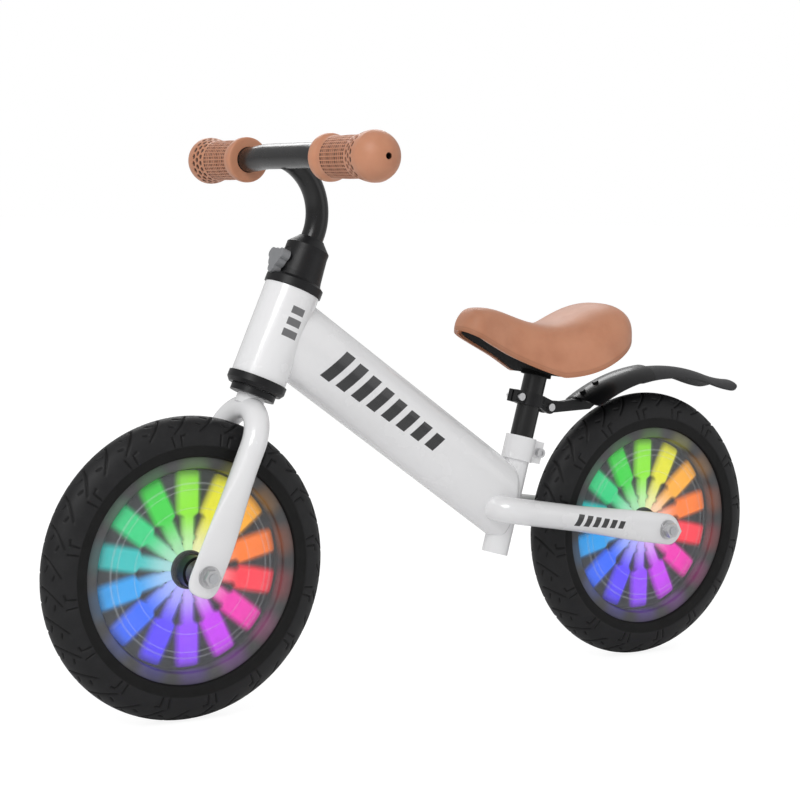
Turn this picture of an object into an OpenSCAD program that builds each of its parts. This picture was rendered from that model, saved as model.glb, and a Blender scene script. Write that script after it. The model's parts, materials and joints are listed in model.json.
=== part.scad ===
// Child's balance bike with light-up wheels.
// Forward is -X, up is +Z, the ground is z = 0 and y = 0 is the middle plane.
// The origin lies on the ground, midway between the two axles.

/* [Wheels] */
// Outer diameter of both tyres
wheel_d = 300; // [280:5:320]
// Width of the tyre section
tyre_w = 45; // [40:1:48]
// Height of the tyre section, from the rim seat to the tread
tyre_h = 38; // [32:1:40]
// Distance between the two axles
wheelbase = 575; // [560:5:620]
// Overall width of the moulded rim
rim_w = 36; // [32:1:38]
// Diameter of the threaded axles
axle_d = 10; // [8:0.5:12]
// Number of light guides in each wheel
light_count = 14; // [8:1:16]
// Inner faces of the fork blades and stays, side to side
axle_gap = 82; // [80:1:90]

/* [Front end] */
// Angle of the steering axis, back from upright
head_tilt = 23.2; // [18:0.2:26]
// Outer diameter of the head tube
head_tube_d = 56; // [50:1:60]
// Length of the head tube
head_tube_l = 95; // [85:1:100]
// Space between the front tyre and the fork crown above it
crown_gap = 6; // [5:0.5:12]
// Diameter of the fork tube where it is round
fork_tube_d = 25; // [22:0.5:27]
// Diameter of the handlebar stem
stem_d = 23; // [20:0.5:24]
// Height of the moulded stem collar
collar_h = 55; // [50:1:60]

/* [Handlebar] */
// Diameter of the cross bar
bar_d = 25.4; // [22:0.2:26]
// Overall width over both grips
bar_w = 374; // [340:2:420]
// Reach of the stem bend, from the steering axis to the bar
bar_reach = 58; // [50:1:64]
// Largest diameter of a grip, at its rounded end
grip_end_d = 48.4; // [44:0.2:50]

/* [Frame] */
// Height of the oval down tube
down_tube_h = 78; // [66:1:82]
// Width of the oval down tube
down_tube_w = 48; // [40:1:50]
// Height up the seat tube at which the down tube's middle meets it
down_tube_join = 54.3; // [52:0.1:58]
// Wall of the seat tube
seat_wall = 1.55; // [1.4:0.05:2.5]
// Length of the seat tube
seat_tube_l = 128; // [124:1:130]
// Angle of the seat tube, back from upright
seat_tilt = 14.7; // [12:0.1:17]
// Diameter of the round part of the chain stays
stay_d = 28.6; // [26:0.2:30]

/* [Saddle and mudguard] */
// Diameter of the seat post
post_d = 25.4; // [24:0.2:27]
// Length of the saddle, nose to tail
saddle_l = 212; // [190:2:224]
// Width of the saddle
saddle_w = 134; // [120:2:144]
// Width of the mudguard blade
guard_w = 62; // [56:1:70]
// How far the mudguard blade's crown line swings outside the tyre's radius
guard_gap = 60; // [55:1:68]

/* [Fits] */
// Radial clearance between parts that turn or slide on each other
run_fit = 0.08; // [0.05:0.01:0.1]
// Gap between neighbouring parts that must not rub
rub_gap = 0.5; // [0.4:0.1:0.8]

/* [Hidden] */
$fn = 96;

wheel_r = wheel_d / 2;
axle_r = axle_d / 2;
front_x = -wheelbase / 2;
rear_x = wheelbase / 2;

// Wheel section, measured from the wheel's centre.
seat_r = wheel_r - tyre_h;
rim_lip = 12;
well_r = seat_r - rim_lip;
hub_r = 16;
hub_half = rim_w / 2 + 8;
bearing_r = 13;
bearing_w = 8;
web_t = 5;
guide_t = 4;
guide_in_r = 30;
guide_step_r = 56;
guide_out_r = well_r - 3;
guide_stem_w = 11;
guide_head_w = 23;
guide_ring_w = 4;
led_board_r = 27;
led_board_t = 1.6;
cover_t = 1.2;
cover_rise = 2;
cover_y = rim_w / 2 - 5;

// Axle stack, outwards along y.
blade_t = 9;
washer_t = 1.6;
nut_h = 8;
nut_r = 8.6;
drop_y = axle_gap / 2 + blade_t / 2;
axle_half = axle_gap / 2 + blade_t + washer_t + nut_h + 1;

// Steering column, measured up the steering axis from the front axle.
steer_wall = 2.7;
tube_wall = 2;
steerer_r = stem_d / 2 + run_fit + steer_wall;
race_h = 7;
cup_h = 11;
cup_r = head_tube_d / 2 + 2;
race_r = head_tube_d / 2 - 5;
head_wall = 3;
crown_top_s = wheel_r + crown_gap + fork_tube_d;
race_s = crown_top_s;
head_tube_s = race_s + race_h + cup_h;
head_top_s = head_tube_s + head_tube_l;
tyre_side_gap = 4;
crown_arch_r = (tyre_w + fork_tube_d) / 2 + tyre_side_gap;
crown_arch_s = crown_top_s - fork_tube_d / 2 - crown_arch_r;
fork_low_s = -4;
fork_tip_r = 17;
steerer_top_s = head_top_s + 40;
steerer_seat = 10;
collar_s = head_top_s + rub_gap;
collar_top_s = collar_s + collar_h;
knob_s = head_top_s + 22.6;
knob_h = 9;
knob_washer_t = 1;
knob_washer_gap = 0.3;
screw_r = 3;
insert_r = 6.4;
insert_h = 4.5;
insert_x = steerer_r + 0.6;
collar_body_r = insert_x + insert_h + 2.62;
knob_face = collar_body_r + 10;
stem_bend_s = collar_top_s + 3;
stem_foot_s = head_tube_s + 20;
bar_s = stem_bend_s + bar_reach;
grip_l = 78.6;
grip_flange_y = (bar_w - grip_end_d) / 2 - grip_l;

// Frame points.
seat_tube_gap = 53;
foot_x = rear_x - wheel_r - seat_tube_gap;
foot_z = wheel_r - 17;
post_fit = 0.05;
seat_tube_d = post_d + 2 * (post_fit + seat_wall);
seat_clamp_h = 26;
seat_clamp_r = seat_tube_d / 2 + 2.6;
down_meet_s = head_tube_s + 0.585 * head_tube_l;
down_start = [front_x + down_meet_s * sin(head_tilt), wheel_r + down_meet_s * cos(head_tilt)];
down_end = [foot_x + down_tube_join * sin(seat_tilt), foot_z + down_tube_join * cos(seat_tilt)];
down_tube_slope = atan2(down_start[1] - down_end[1], down_end[0] - down_start[0]);
stay_front_x = foot_x - 14.5;
stay_rise = 36.8;
stay_side = (tyre_w + stay_d) / 2 + 4.2;
stay_bend_r = stay_side - 15;

// Saddle, mudguard clamp and blade.
guard_clamp_s = seat_tube_l + 43;
guard_clamp_h = 13.5;
guard_t = 2.4;
guard_arch = 12;
guard_r = wheel_r + guard_gap;
guard_centre = [rear_x + 18, wheel_r - 27];
guard_front_a = -33;
guard_lap_a = -6;
guard_tail_a = -16;
guard_bend_a = 18.5;
guard_flare_a = 14.5;
guard_flare_r = 172;
guard_tongue_a = -21.5;
guard_screw_r = 2;
guard_pivot = [foot_x + guard_clamp_s * sin(seat_tilt) + 22.6,
    foot_z + guard_clamp_s * cos(seat_tilt) - 8.4];
pivot_r = 2.5;
post_foot_s = 40;
post_top_s = seat_tube_l + 94;
post_top = [foot_x + post_top_s * sin(seat_tilt), foot_z + post_top_s * cos(seat_tilt)];
socket_wall = 4;
cross_bolt_r = 2.5;
cross_bolt_s = post_top_s - 9;
saddle_post_t = 0.518;
saddle_nose_x = post_top[0] - saddle_post_t * saddle_l;
saddle_low_z = post_top[1] - 21.7;
saddle_ridge = 65;
shell_t = 4;
pan_t = 3;

// ---------------------------------------------------------------- helpers

// Moves its children from wheel coordinates to the front or the rear axle.
module at_axle(x) {
    translate([x, 0, wheel_r]) children();
}

// Frame of the steering axis: z runs up the axis from the front axle.
module on_steering() {
    translate([front_x, 0, wheel_r]) rotate([0, head_tilt, 0]) children();
}

// Frame of the seat tube: z runs up the tube from its open foot.
module on_seat_tube() {
    translate([foot_x, 0, foot_z]) rotate([0, seat_tilt, 0]) children();
}

// Turns a shape made about z so that it lies about y.
module about_y() {
    rotate([90, 0, 0]) children();
}

// Copies its children to both sides of the middle plane.
module both_sides() {
    children();
    mirror([0, 1, 0]) children();
}

// Cylinder about y from y0 to y1.
module disc_y(r, y0, y1) {
    translate([0, y1, 0]) rotate([90, 0, 0]) cylinder(r = r, h = y1 - y0);
}

// Ring about y from y0 to y1.
module ring_y(r_out, r_in, y0, y1) {
    difference() {
        disc_y(r_out, y0, y1);
        disc_y(r_in, y0 - 1, y1 + 1);
    }
}

// Tube up z from s0 to s1.
module tube_z(r_out, r_in, s0, s1) {
    difference() {
        translate([0, 0, s0]) cylinder(r = r_out, h = s1 - s0);
        translate([0, 0, s0 - 1]) cylinder(r = r_in, h = s1 - s0 + 2);
    }
}

// Outline of an oval, a little squarer than an ellipse.
module oval(high, wide) {
    steps = 64;
    power = 0.88;
    polygon([for (k = [0 : steps - 1]) let(a = 360 * k / steps)
        [high / 2 * sign(cos(a)) * pow(abs(cos(a)), power),
            wide / 2 * sign(sin(a)) * pow(abs(sin(a)), power)]]);
}

// A solid swept through a list of closed rings of points.
module skin(rings) {
    n = len(rings[0]);
    last = len(rings) - 1;
    sides = [for (i = [0 : last - 1]) for (j = [0 : n - 1])
        for (t = [0, 1]) t == 0
            ? [i * n + j, i * n + (j + 1) % n, (i + 1) * n + j]
            : [i * n + (j + 1) % n, (i + 1) * n + (j + 1) % n, (i + 1) * n + j]];
    foot = [[for (j = [n - 1 : -1 : 0]) j]];
    head = [[for (j = [0 : n - 1]) last * n + j]];
    polyhedron(points = [for (ring = rings) each ring], faces = concat(sides, foot, head));
}

function smooth(t) = let(c = max(0, min(1, t))) c * c * (3 - 2 * c);
function mix(a, b, t) = a + (b - a) * t;

// Elliptical ring of points: centre, two unit normals and a half size along each.
function tube_ring(c, side, up, half_side, half_up, n = 24) =
    [for (k = [0 : n - 1]) let(a = -360 * k / n)
        c + side * half_side * cos(a) + up * half_up * sin(a)];

// ---------------------------------------------------------------- wheels

// Half section of the tyre above its flat rim seat, as radius against y.
module tyre_section() {
    crown = tyre_h - 8;
    intersection() {
        union() {
            translate([wheel_r - crown, 0]) ellipse_section(crown, tyre_w / 2);
            translate([seat_r, -rim_w / 2 + 0.6]) square([9, rim_w - 1.2]);
        }
        translate([seat_r, -tyre_w]) square([tyre_h + 1, 2 * tyre_w]);
    }
    translate([seat_r - 5, -6]) square([6, 12]);
}

// Ring of air sealed inside the tyre.
module tyre_air() {
    translate([wheel_r - 22, 0]) circle(r = min(12, tyre_w / 2 - 8, tyre_h - 26));
}

// Ellipse outline drawn point by point so that it stays a single face ring.
module ellipse_section(rx, ry) {
    polygon([for (k = [0 : 35]) [rx * cos(10 * k), ry * sin(10 * k)]]);
}

module tyre() {
    color([0.09, 0.09, 0.10]) about_y() rotate_extrude() difference() {
        tyre_section();
        tyre_air();
    }
}

// One-piece moulded wheel: rim with a locking groove, thin web and hub socket.
module rim() {
    color([0.16, 0.16, 0.17]) about_y() rotate_extrude() difference() {
        union() {
            translate([well_r, -rim_w / 2]) square([rim_lip, rim_w]);
            translate([hub_r, -web_t / 2]) square([well_r - hub_r + 1, web_t]);
            translate([hub_r, -9]) square([3, 18]);
        }
        translate([seat_r - 5, -6]) square([6, 12]);
    }
}

// Hub barrel with a bearing seat at each end and a seat for the LED boards.
module hub() {
    color([0.05, 0.05, 0.06]) difference() {
        disc_y(hub_r, -hub_half, hub_half);
        disc_y(axle_r + 3, -hub_half - 1, hub_half + 1);
        for (side = [-1, 1]) {
            y = side * hub_half;
            disc_y(bearing_r, y - bearing_w - 1, y + bearing_w + 1);
        }
        disc_y(axle_r + 8, -6, 6);
    }
}

// Two shielded ball bearings, drawn as rings with a raised inner race.
module bearings() {
    color([0.75, 0.76, 0.78]) for (side = [-1, 1]) {
        y = side * (hub_half - 1 - bearing_w / 2);
        ring_y(bearing_r, axle_r + run_fit, y - bearing_w / 2, y + bearing_w / 2);
    }
}

// Outline of one light guide: a narrow stem that widens into a capsule.
module guide_outline() {
    head_r = guide_head_w / 2;
    stem_r = guide_stem_w / 2;
    polygon([[guide_in_r, -stem_r], [guide_step_r - 6, -stem_r], [guide_step_r, -head_r],
        [guide_out_r - head_r, -head_r], [guide_out_r - head_r, head_r],
        [guide_step_r, head_r], [guide_step_r - 6, stem_r], [guide_in_r, stem_r]]);
    translate([guide_out_r - head_r, 0]) circle(r = head_r);
}

// Clear mouldings that carry the light outwards, one on each side of the web.
module light_guides() {
    color([0.95, 0.85, 0.95]) both_sides() {
        translate([0, -web_t / 2, 0]) about_y() linear_extrude(guide_t) {
            difference() {
                circle(r = guide_in_r + guide_ring_w);
                circle(r = guide_in_r - 1);
            }
            for (k = [0 : light_count - 1]) rotate((k + 0.5) * 360 / light_count)
                guide_outline();
        }
    }
}

// Ring-shaped circuit board on each side of the web, one LED under each guide.
module led_boards() {
    board_y = web_t / 2 + led_board_t;
    led = 3;
    color([0.10, 0.35, 0.18]) both_sides() {
        ring_y(led_board_r, hub_r + 3.2, -board_y, -web_t / 2);
        for (k = [0 : light_count - 1]) rotate([0, (k + 0.5) * 360 / light_count, 0])
            translate([led_board_r - led - 0.5, -board_y - 1.4, -led / 2])
                cube([led, 1.4 + led_board_t / 2, led]);
    }
}

// Clear cover disc with a raised middle, on the left side of a wheel.
module cover() {
    rise_r = well_r * 0.86;
    y0 = cover_y;
    y1 = cover_y + cover_rise;
    in_r = hub_r + rub_gap / 2;
    color([0.75, 0.78, 0.82, 0.35]) about_y() rotate_extrude()
        polygon([[in_r, y1], [rise_r - cover_rise, y1], [rise_r, y0], [well_r, y0],
            [well_r, y0 + cover_t], [rise_r + cover_t, y0 + cover_t],
            [rise_r - cover_rise + cover_t, y1 + cover_t], [in_r, y1 + cover_t]]);
}

module axle() {
    color([0.75, 0.75, 0.77]) disc_y(axle_r, -axle_half, axle_half);
}

module axle_nuts() {
    y0 = axle_half - nut_h - 1;
    color([0.82, 0.83, 0.85]) both_sides() difference() {
        union() {
            translate([0, -y0, 0]) about_y() linear_extrude(nut_h) circle(r = nut_r, $fn = 6);
            translate([0, -y0, 0]) about_y() cylinder(r = nut_r + 1.4, h = 1.6);
        }
        disc_y(axle_r, -axle_half - 1, 0);
    }
}

module axle_washers() {
    y0 = axle_gap / 2 + blade_t;
    color([0.7, 0.71, 0.73]) both_sides() ring_y(11, axle_r, -y0 - washer_t, -y0);
}

module axle_spacers() {
    y0 = hub_half - 0.6;
    color([0.72, 0.73, 0.75]) both_sides() {
        ring_y(8, axle_r, -axle_gap / 2, -y0);
        ring_y(11.5, axle_r, -axle_gap / 2, -axle_gap / 2 + 3);
    }
}

// Magnet ring on the axle that drives the LEDs as the wheel turns.
module magnet_ring() {
    color([0.35, 0.35, 0.37]) ring_y(axle_r + 6, axle_r, -5, 5);
}

// ---------------------------------------------------------------- frame

module head_tube() {
    color([0.95, 0.95, 0.95]) on_steering()
        tube_z(head_tube_d / 2, head_tube_d / 2 - head_wall, head_tube_s, head_top_s);
}

// Solid oval bar from the steering axis towards the seat tube.
module down_tube_bar(high, wide) {
    reach = norm(down_end - down_start);
    on_steering() translate([0, 0, down_meet_s])
        rotate([0, 90 - head_tilt + down_tube_slope, 0])
            linear_extrude(reach) oval(high, wide);
}

// Oval tube between the head tube and the seat tube, capped at its rear end.
module down_tube() {
    wall = 2;
    cap = 3;
    color([0.94, 0.94, 0.94]) difference() {
        down_tube_bar(down_tube_h, down_tube_w);
        difference() {
            down_tube_bar(down_tube_h - 2 * wall, down_tube_w - 2 * wall);
            on_seat_tube() translate([-cap, -50, -150]) cube([200, 100, 500]);
        }
        on_seat_tube() translate([0, -50, -150]) cube([200, 100, 500]);
        on_steering() cylinder(r = head_tube_d / 2, h = 500);
        on_seat_tube() translate([0, 0, -50]) cylinder(r = seat_tube_d / 2, h = 400);
    }
}

module seat_tube() {
    color([0.95, 0.95, 0.95]) on_seat_tube()
        tube_z(seat_tube_d / 2, post_d / 2 + post_fit, 0, seat_tube_l);
}

// Height of the stay's axis at a place along x: straight from bend to axle.
function stay_z(x) = let(slope = stay_rise / (rear_x - stay_front_x)) wheel_r + (rear_x - x) * slope;

// Rings of the left stay, thinner by cut: bent in at the front, flattened at the axle.
function stay_rings(cut, last) =
    let(bend = 8, run = 14, x1 = stay_front_x + stay_bend_r, r = stay_d / 2)
    concat(
        [for (k = [0 : bend]) let(a = 90 * k / bend,
            c = [x1 - stay_bend_r * cos(a), -stay_side + stay_bend_r * (1 - sin(a))])
            tube_ring([c[0], c[1], stay_z(c[0])], [cos(a), sin(a), 0], [0, 0, 1],
                r - cut, r - cut)],
        [for (k = [1 : last]) let(t = k / run, x = mix(x1, rear_x + 21, t),
            f = smooth((t - 0.25) / 0.55),
            tip = k == run ? 0.86 : 1)
            tube_ring([x, -mix(stay_side, drop_y, smooth(t * 1.25)), stay_z(x)],
                [0, 1, 0], [0, 0, 1], mix(r, blade_t / 2, f) - cut, mix(r, 17.5, f) * tip - cut)]
    );

// Left stay, a tube pressed flat at the axle and trimmed where it meets the down tube.
module chain_stay() {
    color([0.95, 0.95, 0.95]) difference() {
        skin(stay_rings(0, 14));
        skin(stay_rings(tube_wall, 9));
        translate([rear_x, 0, wheel_r]) disc_y(axle_r, -axle_half, 0);
        down_tube_bar(down_tube_h, down_tube_w);
        on_seat_tube() cylinder(r = seat_tube_d / 2, h = seat_tube_l);
    }
}

// Black ring pressed into the bottom of the head tube.
module lower_headset_cup() {
    s0 = head_tube_s - cup_h;
    color([0.05, 0.05, 0.05]) on_steering() rotate_extrude() polygon([
        [race_r - 3, s0], [cup_r - 3, s0], [cup_r, s0 + 4], [cup_r, head_tube_s],
        [head_tube_d / 2 - head_wall, head_tube_s],
        [head_tube_d / 2 - head_wall, head_tube_s + 10],
        [race_r - 3, head_tube_s + 10]]);
}

module upper_headset_cup() {
    color([0.05, 0.05, 0.05]) on_steering()
        tube_z(head_tube_d / 2 - head_wall, race_r - 3, head_top_s - 12, head_top_s);
}

module seat_clamp() {
    lug = seat_clamp_r + 9;
    s0 = seat_tube_l - seat_clamp_h + 2;
    color([0.96, 0.96, 0.96]) on_seat_tube() difference() {
        union() {
            translate([0, 0, s0]) cylinder(r = seat_clamp_r, h = seat_clamp_h);
            translate([0, -9, s0 + 1]) cube([lug, 18, seat_clamp_h - 2]);
        }
        translate([0, 0, s0 - 1]) cylinder(r = seat_tube_d / 2, h = seat_tube_l - s0 + 1);
        translate([0, 0, s0 - 1]) cylinder(r = post_d / 2 + 0.4, h = seat_clamp_h + 2);
        translate([0, -1.5, s0 - 1]) cube([lug + 1, 3, seat_clamp_h + 2]);
        translate([lug - 5, 0, s0 + seat_clamp_h / 2]) disc_y(3.1, -20, 20);
    }
}

module seat_clamp_bolt() {
    x = seat_clamp_r + 4;
    s = seat_tube_l - seat_clamp_h / 2 + 2;
    color([0.8, 0.8, 0.82]) on_seat_tube() translate([x, 0, s]) {
        disc_y(3, -13, 12);
        difference() {
            disc_y(5, -14.5, -9);
            translate([0, -11.5, 0]) about_y() cylinder(r = 2.9, h = 4, $fn = 6);
        }
        translate([0, 13.5, 0]) about_y() cylinder(r = 5.6, h = 4.5, $fn = 6);
    }
}

// ---------------------------------------------------------------- fork

module fork_steerer() {
    slot = 8;
    color([0.95, 0.95, 0.95]) on_steering() difference() {
        tube_z(steerer_r, stem_d / 2 + run_fit, crown_top_s - steerer_seat, steerer_top_s);
        translate([-40, -slot / 2, knob_s - 10]) cube([40, slot, 20]);
    }
}

// One ring of a fork leg, thinner by cut; side is 1 for the left leg, t runs to the axle.
function leg_ring(side, t, cut) =
    let(r = fork_tube_d / 2, f = smooth((t - 0.1) / 0.7))
    tube_ring([0, -side * mix(crown_arch_r, drop_y, smooth(t * 1.25)), mix(crown_arch_s, fork_low_s, t)],
        [1, 0, 0], [0, side, 0], mix(r, fork_tip_r, f) - cut, mix(r, blade_t / 2, f) - cut);

// One ring of the rounded tip below the axle.
function tip_ring(side, a) =
    tube_ring([0, -side * drop_y, fork_low_s - fork_tip_r * sin(a)],
        [1, 0, 0], [0, side, 0], fork_tip_r * pow(cos(a), 0.55), blade_t / 2);

// Rings up the left leg, over the crown and down the right leg, thinner by cut.
function fork_rings(cut, last) =
    let(run = 12, arch = 9, r = fork_tube_d / 2 - cut)
    concat(
        [for (k = [last : -1 : 1]) leg_ring(1, k / run, cut)],
        [for (k = [arch : -1 : -arch]) let(a = 90 * k / arch)
            tube_ring([0, -crown_arch_r * sin(a), crown_arch_s + crown_arch_r * cos(a)],
                [1, 0, 0], [0, sin(a), -cos(a)], r, r)],
        [for (k = [1 : last]) leg_ring(-1, k / run, cut)]
    );

// Both legs and the crown, bent from one tube whose ends are pressed flat.
module fork_blades() {
    color([0.95, 0.95, 0.95]) on_steering() difference() {
        skin(concat([for (a = [75, 50, 25]) tip_ring(1, a)], fork_rings(0, 12),
            [for (a = [25, 50, 75]) tip_ring(-1, a)]));
        skin(fork_rings(tube_wall, 7));
        disc_y(axle_r, -axle_half, axle_half);
        translate([0, 0, crown_top_s - steerer_seat]) cylinder(r = steerer_r, h = 40);
    }
}

module fork_crown_race() {
    color([0.05, 0.05, 0.05]) on_steering()
        tube_z(race_r, steerer_r, race_s, race_s + race_h - rub_gap);
}

module lower_head_bearing() {
    color([0.7, 0.7, 0.72]) on_steering()
        tube_z(race_r - 3 - run_fit, steerer_r, race_s + race_h - rub_gap, head_tube_s + 6);
}

module upper_head_bearing() {
    color([0.7, 0.7, 0.72]) on_steering()
        tube_z(race_r - 3 - run_fit, steerer_r, head_top_s - 9, head_top_s - 1);
}

// ---------------------------------------------------------------- stem collar

// Frame of the clamp screw: z runs forward from the steering axis.
module on_clamp_screw() {
    on_steering() translate([0, 0, knob_s]) rotate([0, -90, 0]) children();
}

knob_seat = knob_face - knob_h - knob_washer_t - 2 * knob_washer_gap;

// Moulded collar that caps the head tube and carries the clamp screw.
module stem_collar() {
    lip_r = head_tube_d / 2 + 1.5;
    body_r = collar_body_r;
    waist_r = body_r + 2.5;
    color([0.07, 0.07, 0.075]) difference() {
        on_steering() rotate_extrude() polygon([[0, collar_s], [lip_r, collar_s],
            [lip_r, collar_s + 8], [waist_r + 1, collar_s + 11], [waist_r, collar_s + 16],
            [body_r + 1.4, collar_s + 26], [body_r, collar_top_s - 16],
            [body_r, collar_top_s - 10], [stem_d / 2 + 3, collar_top_s - 2],
            [stem_d / 2 + 1.5, collar_top_s], [0, collar_top_s]]);
        on_steering() translate([0, 0, collar_s - 1])
            cylinder(r = steerer_r, h = steerer_top_s - collar_s + 1);
        on_steering() translate([0, 0, collar_s]) cylinder(r = stem_d / 2 + run_fit, h = 2 * collar_h);
        on_clamp_screw() cylinder(r = screw_r + 0.3, h = 60);
        on_clamp_screw() translate([0, 0, insert_x])
            linear_extrude(insert_h) circle(r = insert_r, $fn = 6);
        on_clamp_screw() translate([0, 0, knob_seat]) cylinder(r = 15.5, h = 30);
    }
}

module collar_insert_nut() {
    color([0.8, 0.66, 0.3]) on_clamp_screw() difference() {
        translate([0, 0, insert_x]) linear_extrude(insert_h) circle(r = insert_r, $fn = 6);
        cylinder(r = screw_r + run_fit, h = 60);
    }
}

module knob_washer() {
    color([0.75, 0.75, 0.77]) on_clamp_screw() difference() {
        translate([0, 0, knob_seat + knob_washer_gap]) cylinder(r = 8, h = knob_washer_t);
        cylinder(r = screw_r + run_fit, h = 60);
    }
}

// Three-lobed hand knob.
module clamp_knob() {
    lobe_r = 5.6;
    lobe_at = 9.6;
    color([0.30, 0.30, 0.31]) on_clamp_screw() difference() {
        translate([0, 0, knob_face - knob_h]) linear_extrude(knob_h) {
            circle(r = 10);
            for (a = [0, 120, 240]) rotate(a + 180) translate([lobe_at, 0]) circle(r = lobe_r);
        }
        cylinder(r = screw_r, h = knob_face - 2);
    }
}

module clamp_screw() {
    start = stem_d / 2 + 0.35;
    color([0.75, 0.75, 0.77]) on_clamp_screw()
        translate([0, 0, start]) cylinder(r = screw_r, h = knob_face - 2 - start);
}

// ---------------------------------------------------------------- handlebar

// Cross bar with a raised level middle, lower at the grips, bored end to end.
module cross_bar() {
    rise = 2.6;
    grip_lead = 6.2;
    bend_l = 40;
    turn = grip_flange_y - grip_lead;
    flat = turn - bend_l;
    half = bar_w / 2 - 12;
    r = bar_d / 2;
    drop = atan(rise / (turn - flat));
    run = (turn - flat) / cos(drop);
    difference() {
        union() {
            translate([0, 0, rise]) disc_y(r, -flat, flat);
            both_sides() {
                translate([0, -flat, rise]) sphere(r = r);
                translate([0, -flat, rise]) rotate([90 + drop, 0, 0]) cylinder(r = r, h = run);
                translate([0, -turn, 0]) sphere(r = r);
                disc_y(r, -half, -turn);
            }
        }
        translate([0, 0, rise / 2]) disc_y(r - tube_wall - rise / 2, -half - 1, half + 1);
    }
}

// Stem and cross bar welded into one piece.
module handlebar() {
    color([0.06, 0.06, 0.06]) on_steering() {
        tube_z(stem_d / 2, stem_d / 2 - tube_wall, stem_foot_s, stem_bend_s);
        translate([-bar_reach, 0, stem_bend_s]) rotate([90, 0, 0])
            rotate_extrude(angle = 90) translate([bar_reach, 0]) difference() {
                circle(r = stem_d / 2);
                circle(r = stem_d / 2 - tube_wall);
            }
        translate([-bar_reach, 0, bar_s]) rotate([0, -head_tilt, 0]) cross_bar();
    }
}

// Rubber grip with an inner flange, a waisted body and a round closed end.
module grip() {
    end_r = grip_end_d / 2;
    end_y = bar_w / 2 - end_r;
    flange_y = grip_flange_y;
    wall_r = bar_d / 2;
    bore_y = bar_w / 2 - 12;
    color([0.78, 0.50, 0.36]) on_steering()
        translate([-bar_reach, 0, bar_s]) rotate([90, 0, 0]) difference() {
            rotate_extrude() {
                polygon([[0, flange_y - 5], [end_r * 0.82, flange_y - 5],
                    [end_r * 0.95, flange_y - 1.5],
                    [end_r * 0.955, flange_y + 1.5], [end_r * 0.9, flange_y + 7],
                    [end_r * 0.825, flange_y + 13], [end_r * 0.83, flange_y + 20],
                    [end_r * 0.84, flange_y + 34],
                    [end_r * 0.83, flange_y + 50], [end_r * 0.87, flange_y + 60],
                    [end_r * 0.95, flange_y + 68], [end_r, end_y - 2], [end_r, end_y],
                    [0, end_y]]);
                intersection() {
                    translate([0, end_y]) circle(r = end_r);
                    translate([0, end_y - 1]) square([end_r, end_r + 2]);
                }
            }
            translate([0, 0, flange_y - 6]) cylinder(r = wall_r, h = bore_y - flange_y + 6);
            cylinder(r = 3, h = bar_w);
        }
}

// ---------------------------------------------------------------- saddle

module seat_post() {
    color([0.06, 0.06, 0.06]) on_seat_tube() difference() {
        tube_z(post_d / 2, post_d / 2 - 2, post_foot_s, post_top_s);
        translate([0, 0, cross_bolt_s]) disc_y(cross_bolt_r, -40, 40);
    }
}

// Half width of the saddle at t, from 0 at the nose to 1 at the tail.
function saddle_half(t) =
    let(nose = 0.36 * sqrt(max(0, 1 - pow(max(0, 1 - t / 0.10), 2))),
        flare = 0.64 * smooth((t - 0.22) / 0.50),
        tail = sqrt(max(0, 1 - pow(max(0, (t - 0.74) / 0.26), 2.4))))
    saddle_w / 2 * (nose + flare) * tail;

// Height of the saddle's ridge: raised nose, dipped seat, raised tail.
function saddle_top(t) =
    saddle_low_z + saddle_ridge + 9 * cos(360 * (t - 0.115) / 0.76)
    + 3 * smooth((t - 0.6) / 0.3)
    - 20 * pow(max(0, (t - 0.86) / 0.14), 2.2) - 20 * pow(max(0, (0.085 - t) / 0.085), 2);

// Height of the saddle's lower edge.
function saddle_rim(t) =
    saddle_low_z + 50 * pow(max(0, (0.50 - t) / 0.50), 1.15) + 50 * pow(max(0, (t - 0.50) / 0.50), 1.7);

// Point of the saddle's outer skin, v running from -1 (left edge) to 1 (right edge).
function saddle_point(t, v, inset) =
    let(a = 90 * v, w = max(0.4, saddle_half(t) - inset),
        low = saddle_rim(t), top = saddle_top(t) - inset,
        lift = pow(max(0, cos(a)), 0.62), out = sign(v) * pow(abs(sin(a)), 0.80))
    [saddle_nose_x + inset + (saddle_l - 2 * inset) * t, w * out,
        mix(low, max(low + 0.5, top), lift)];

// Rings across the saddle, closed underneath by a straight line.
function saddle_rings(inset, n, m) =
    [for (i = [0 : n]) let(t = 0.5 - 0.5 * cos(180 * (0.012 + 0.976 * i / n)))
        [for (j = [0 : m]) saddle_point(t, 2 * j / m - 1, inset)]];

// Soft moulded shell, hollow underneath.
module saddle_shell() {
    color([0.78, 0.50, 0.36]) difference() {
        skin(saddle_rings(0, 34, 22));
        translate([0, 0, -1]) skin(saddle_rings(shell_t, 24, 16));
    }
}

// Flat rings of the pan's floor, following the lower edge of the shell.
function pan_rings(n) =
    [for (i = [0 : n]) let(t = 0.5 - 0.5 * cos(180 * (0.11 + 0.78 * i / n)),
        x = saddle_nose_x + shell_t + (saddle_l - 2 * shell_t) * t,
        w = max(1, saddle_half(t) - shell_t - 4), z = saddle_rim(t) + 0.5)
        [[x, -w, z], [x, -w, z + pan_t], [x, w, z + pan_t], [x, w, z]]];

// Stiff pan inside the shell with the socket for the seat post.
module saddle_pan() {
    socket_r = post_d / 2 + socket_wall;
    color([0.06, 0.06, 0.06]) difference() {
        union() {
            skin(pan_rings(24));
            on_seat_tube() translate([0, 0, post_top_s - 24]) cylinder(r = socket_r, h = 27);
        }
        on_seat_tube() translate([0, 0, post_top_s - 60]) cylinder(r = post_d / 2, h = 60);
        on_seat_tube() translate([0, 0, cross_bolt_s]) disc_y(cross_bolt_r, -40, 40);
    }
}

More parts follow.
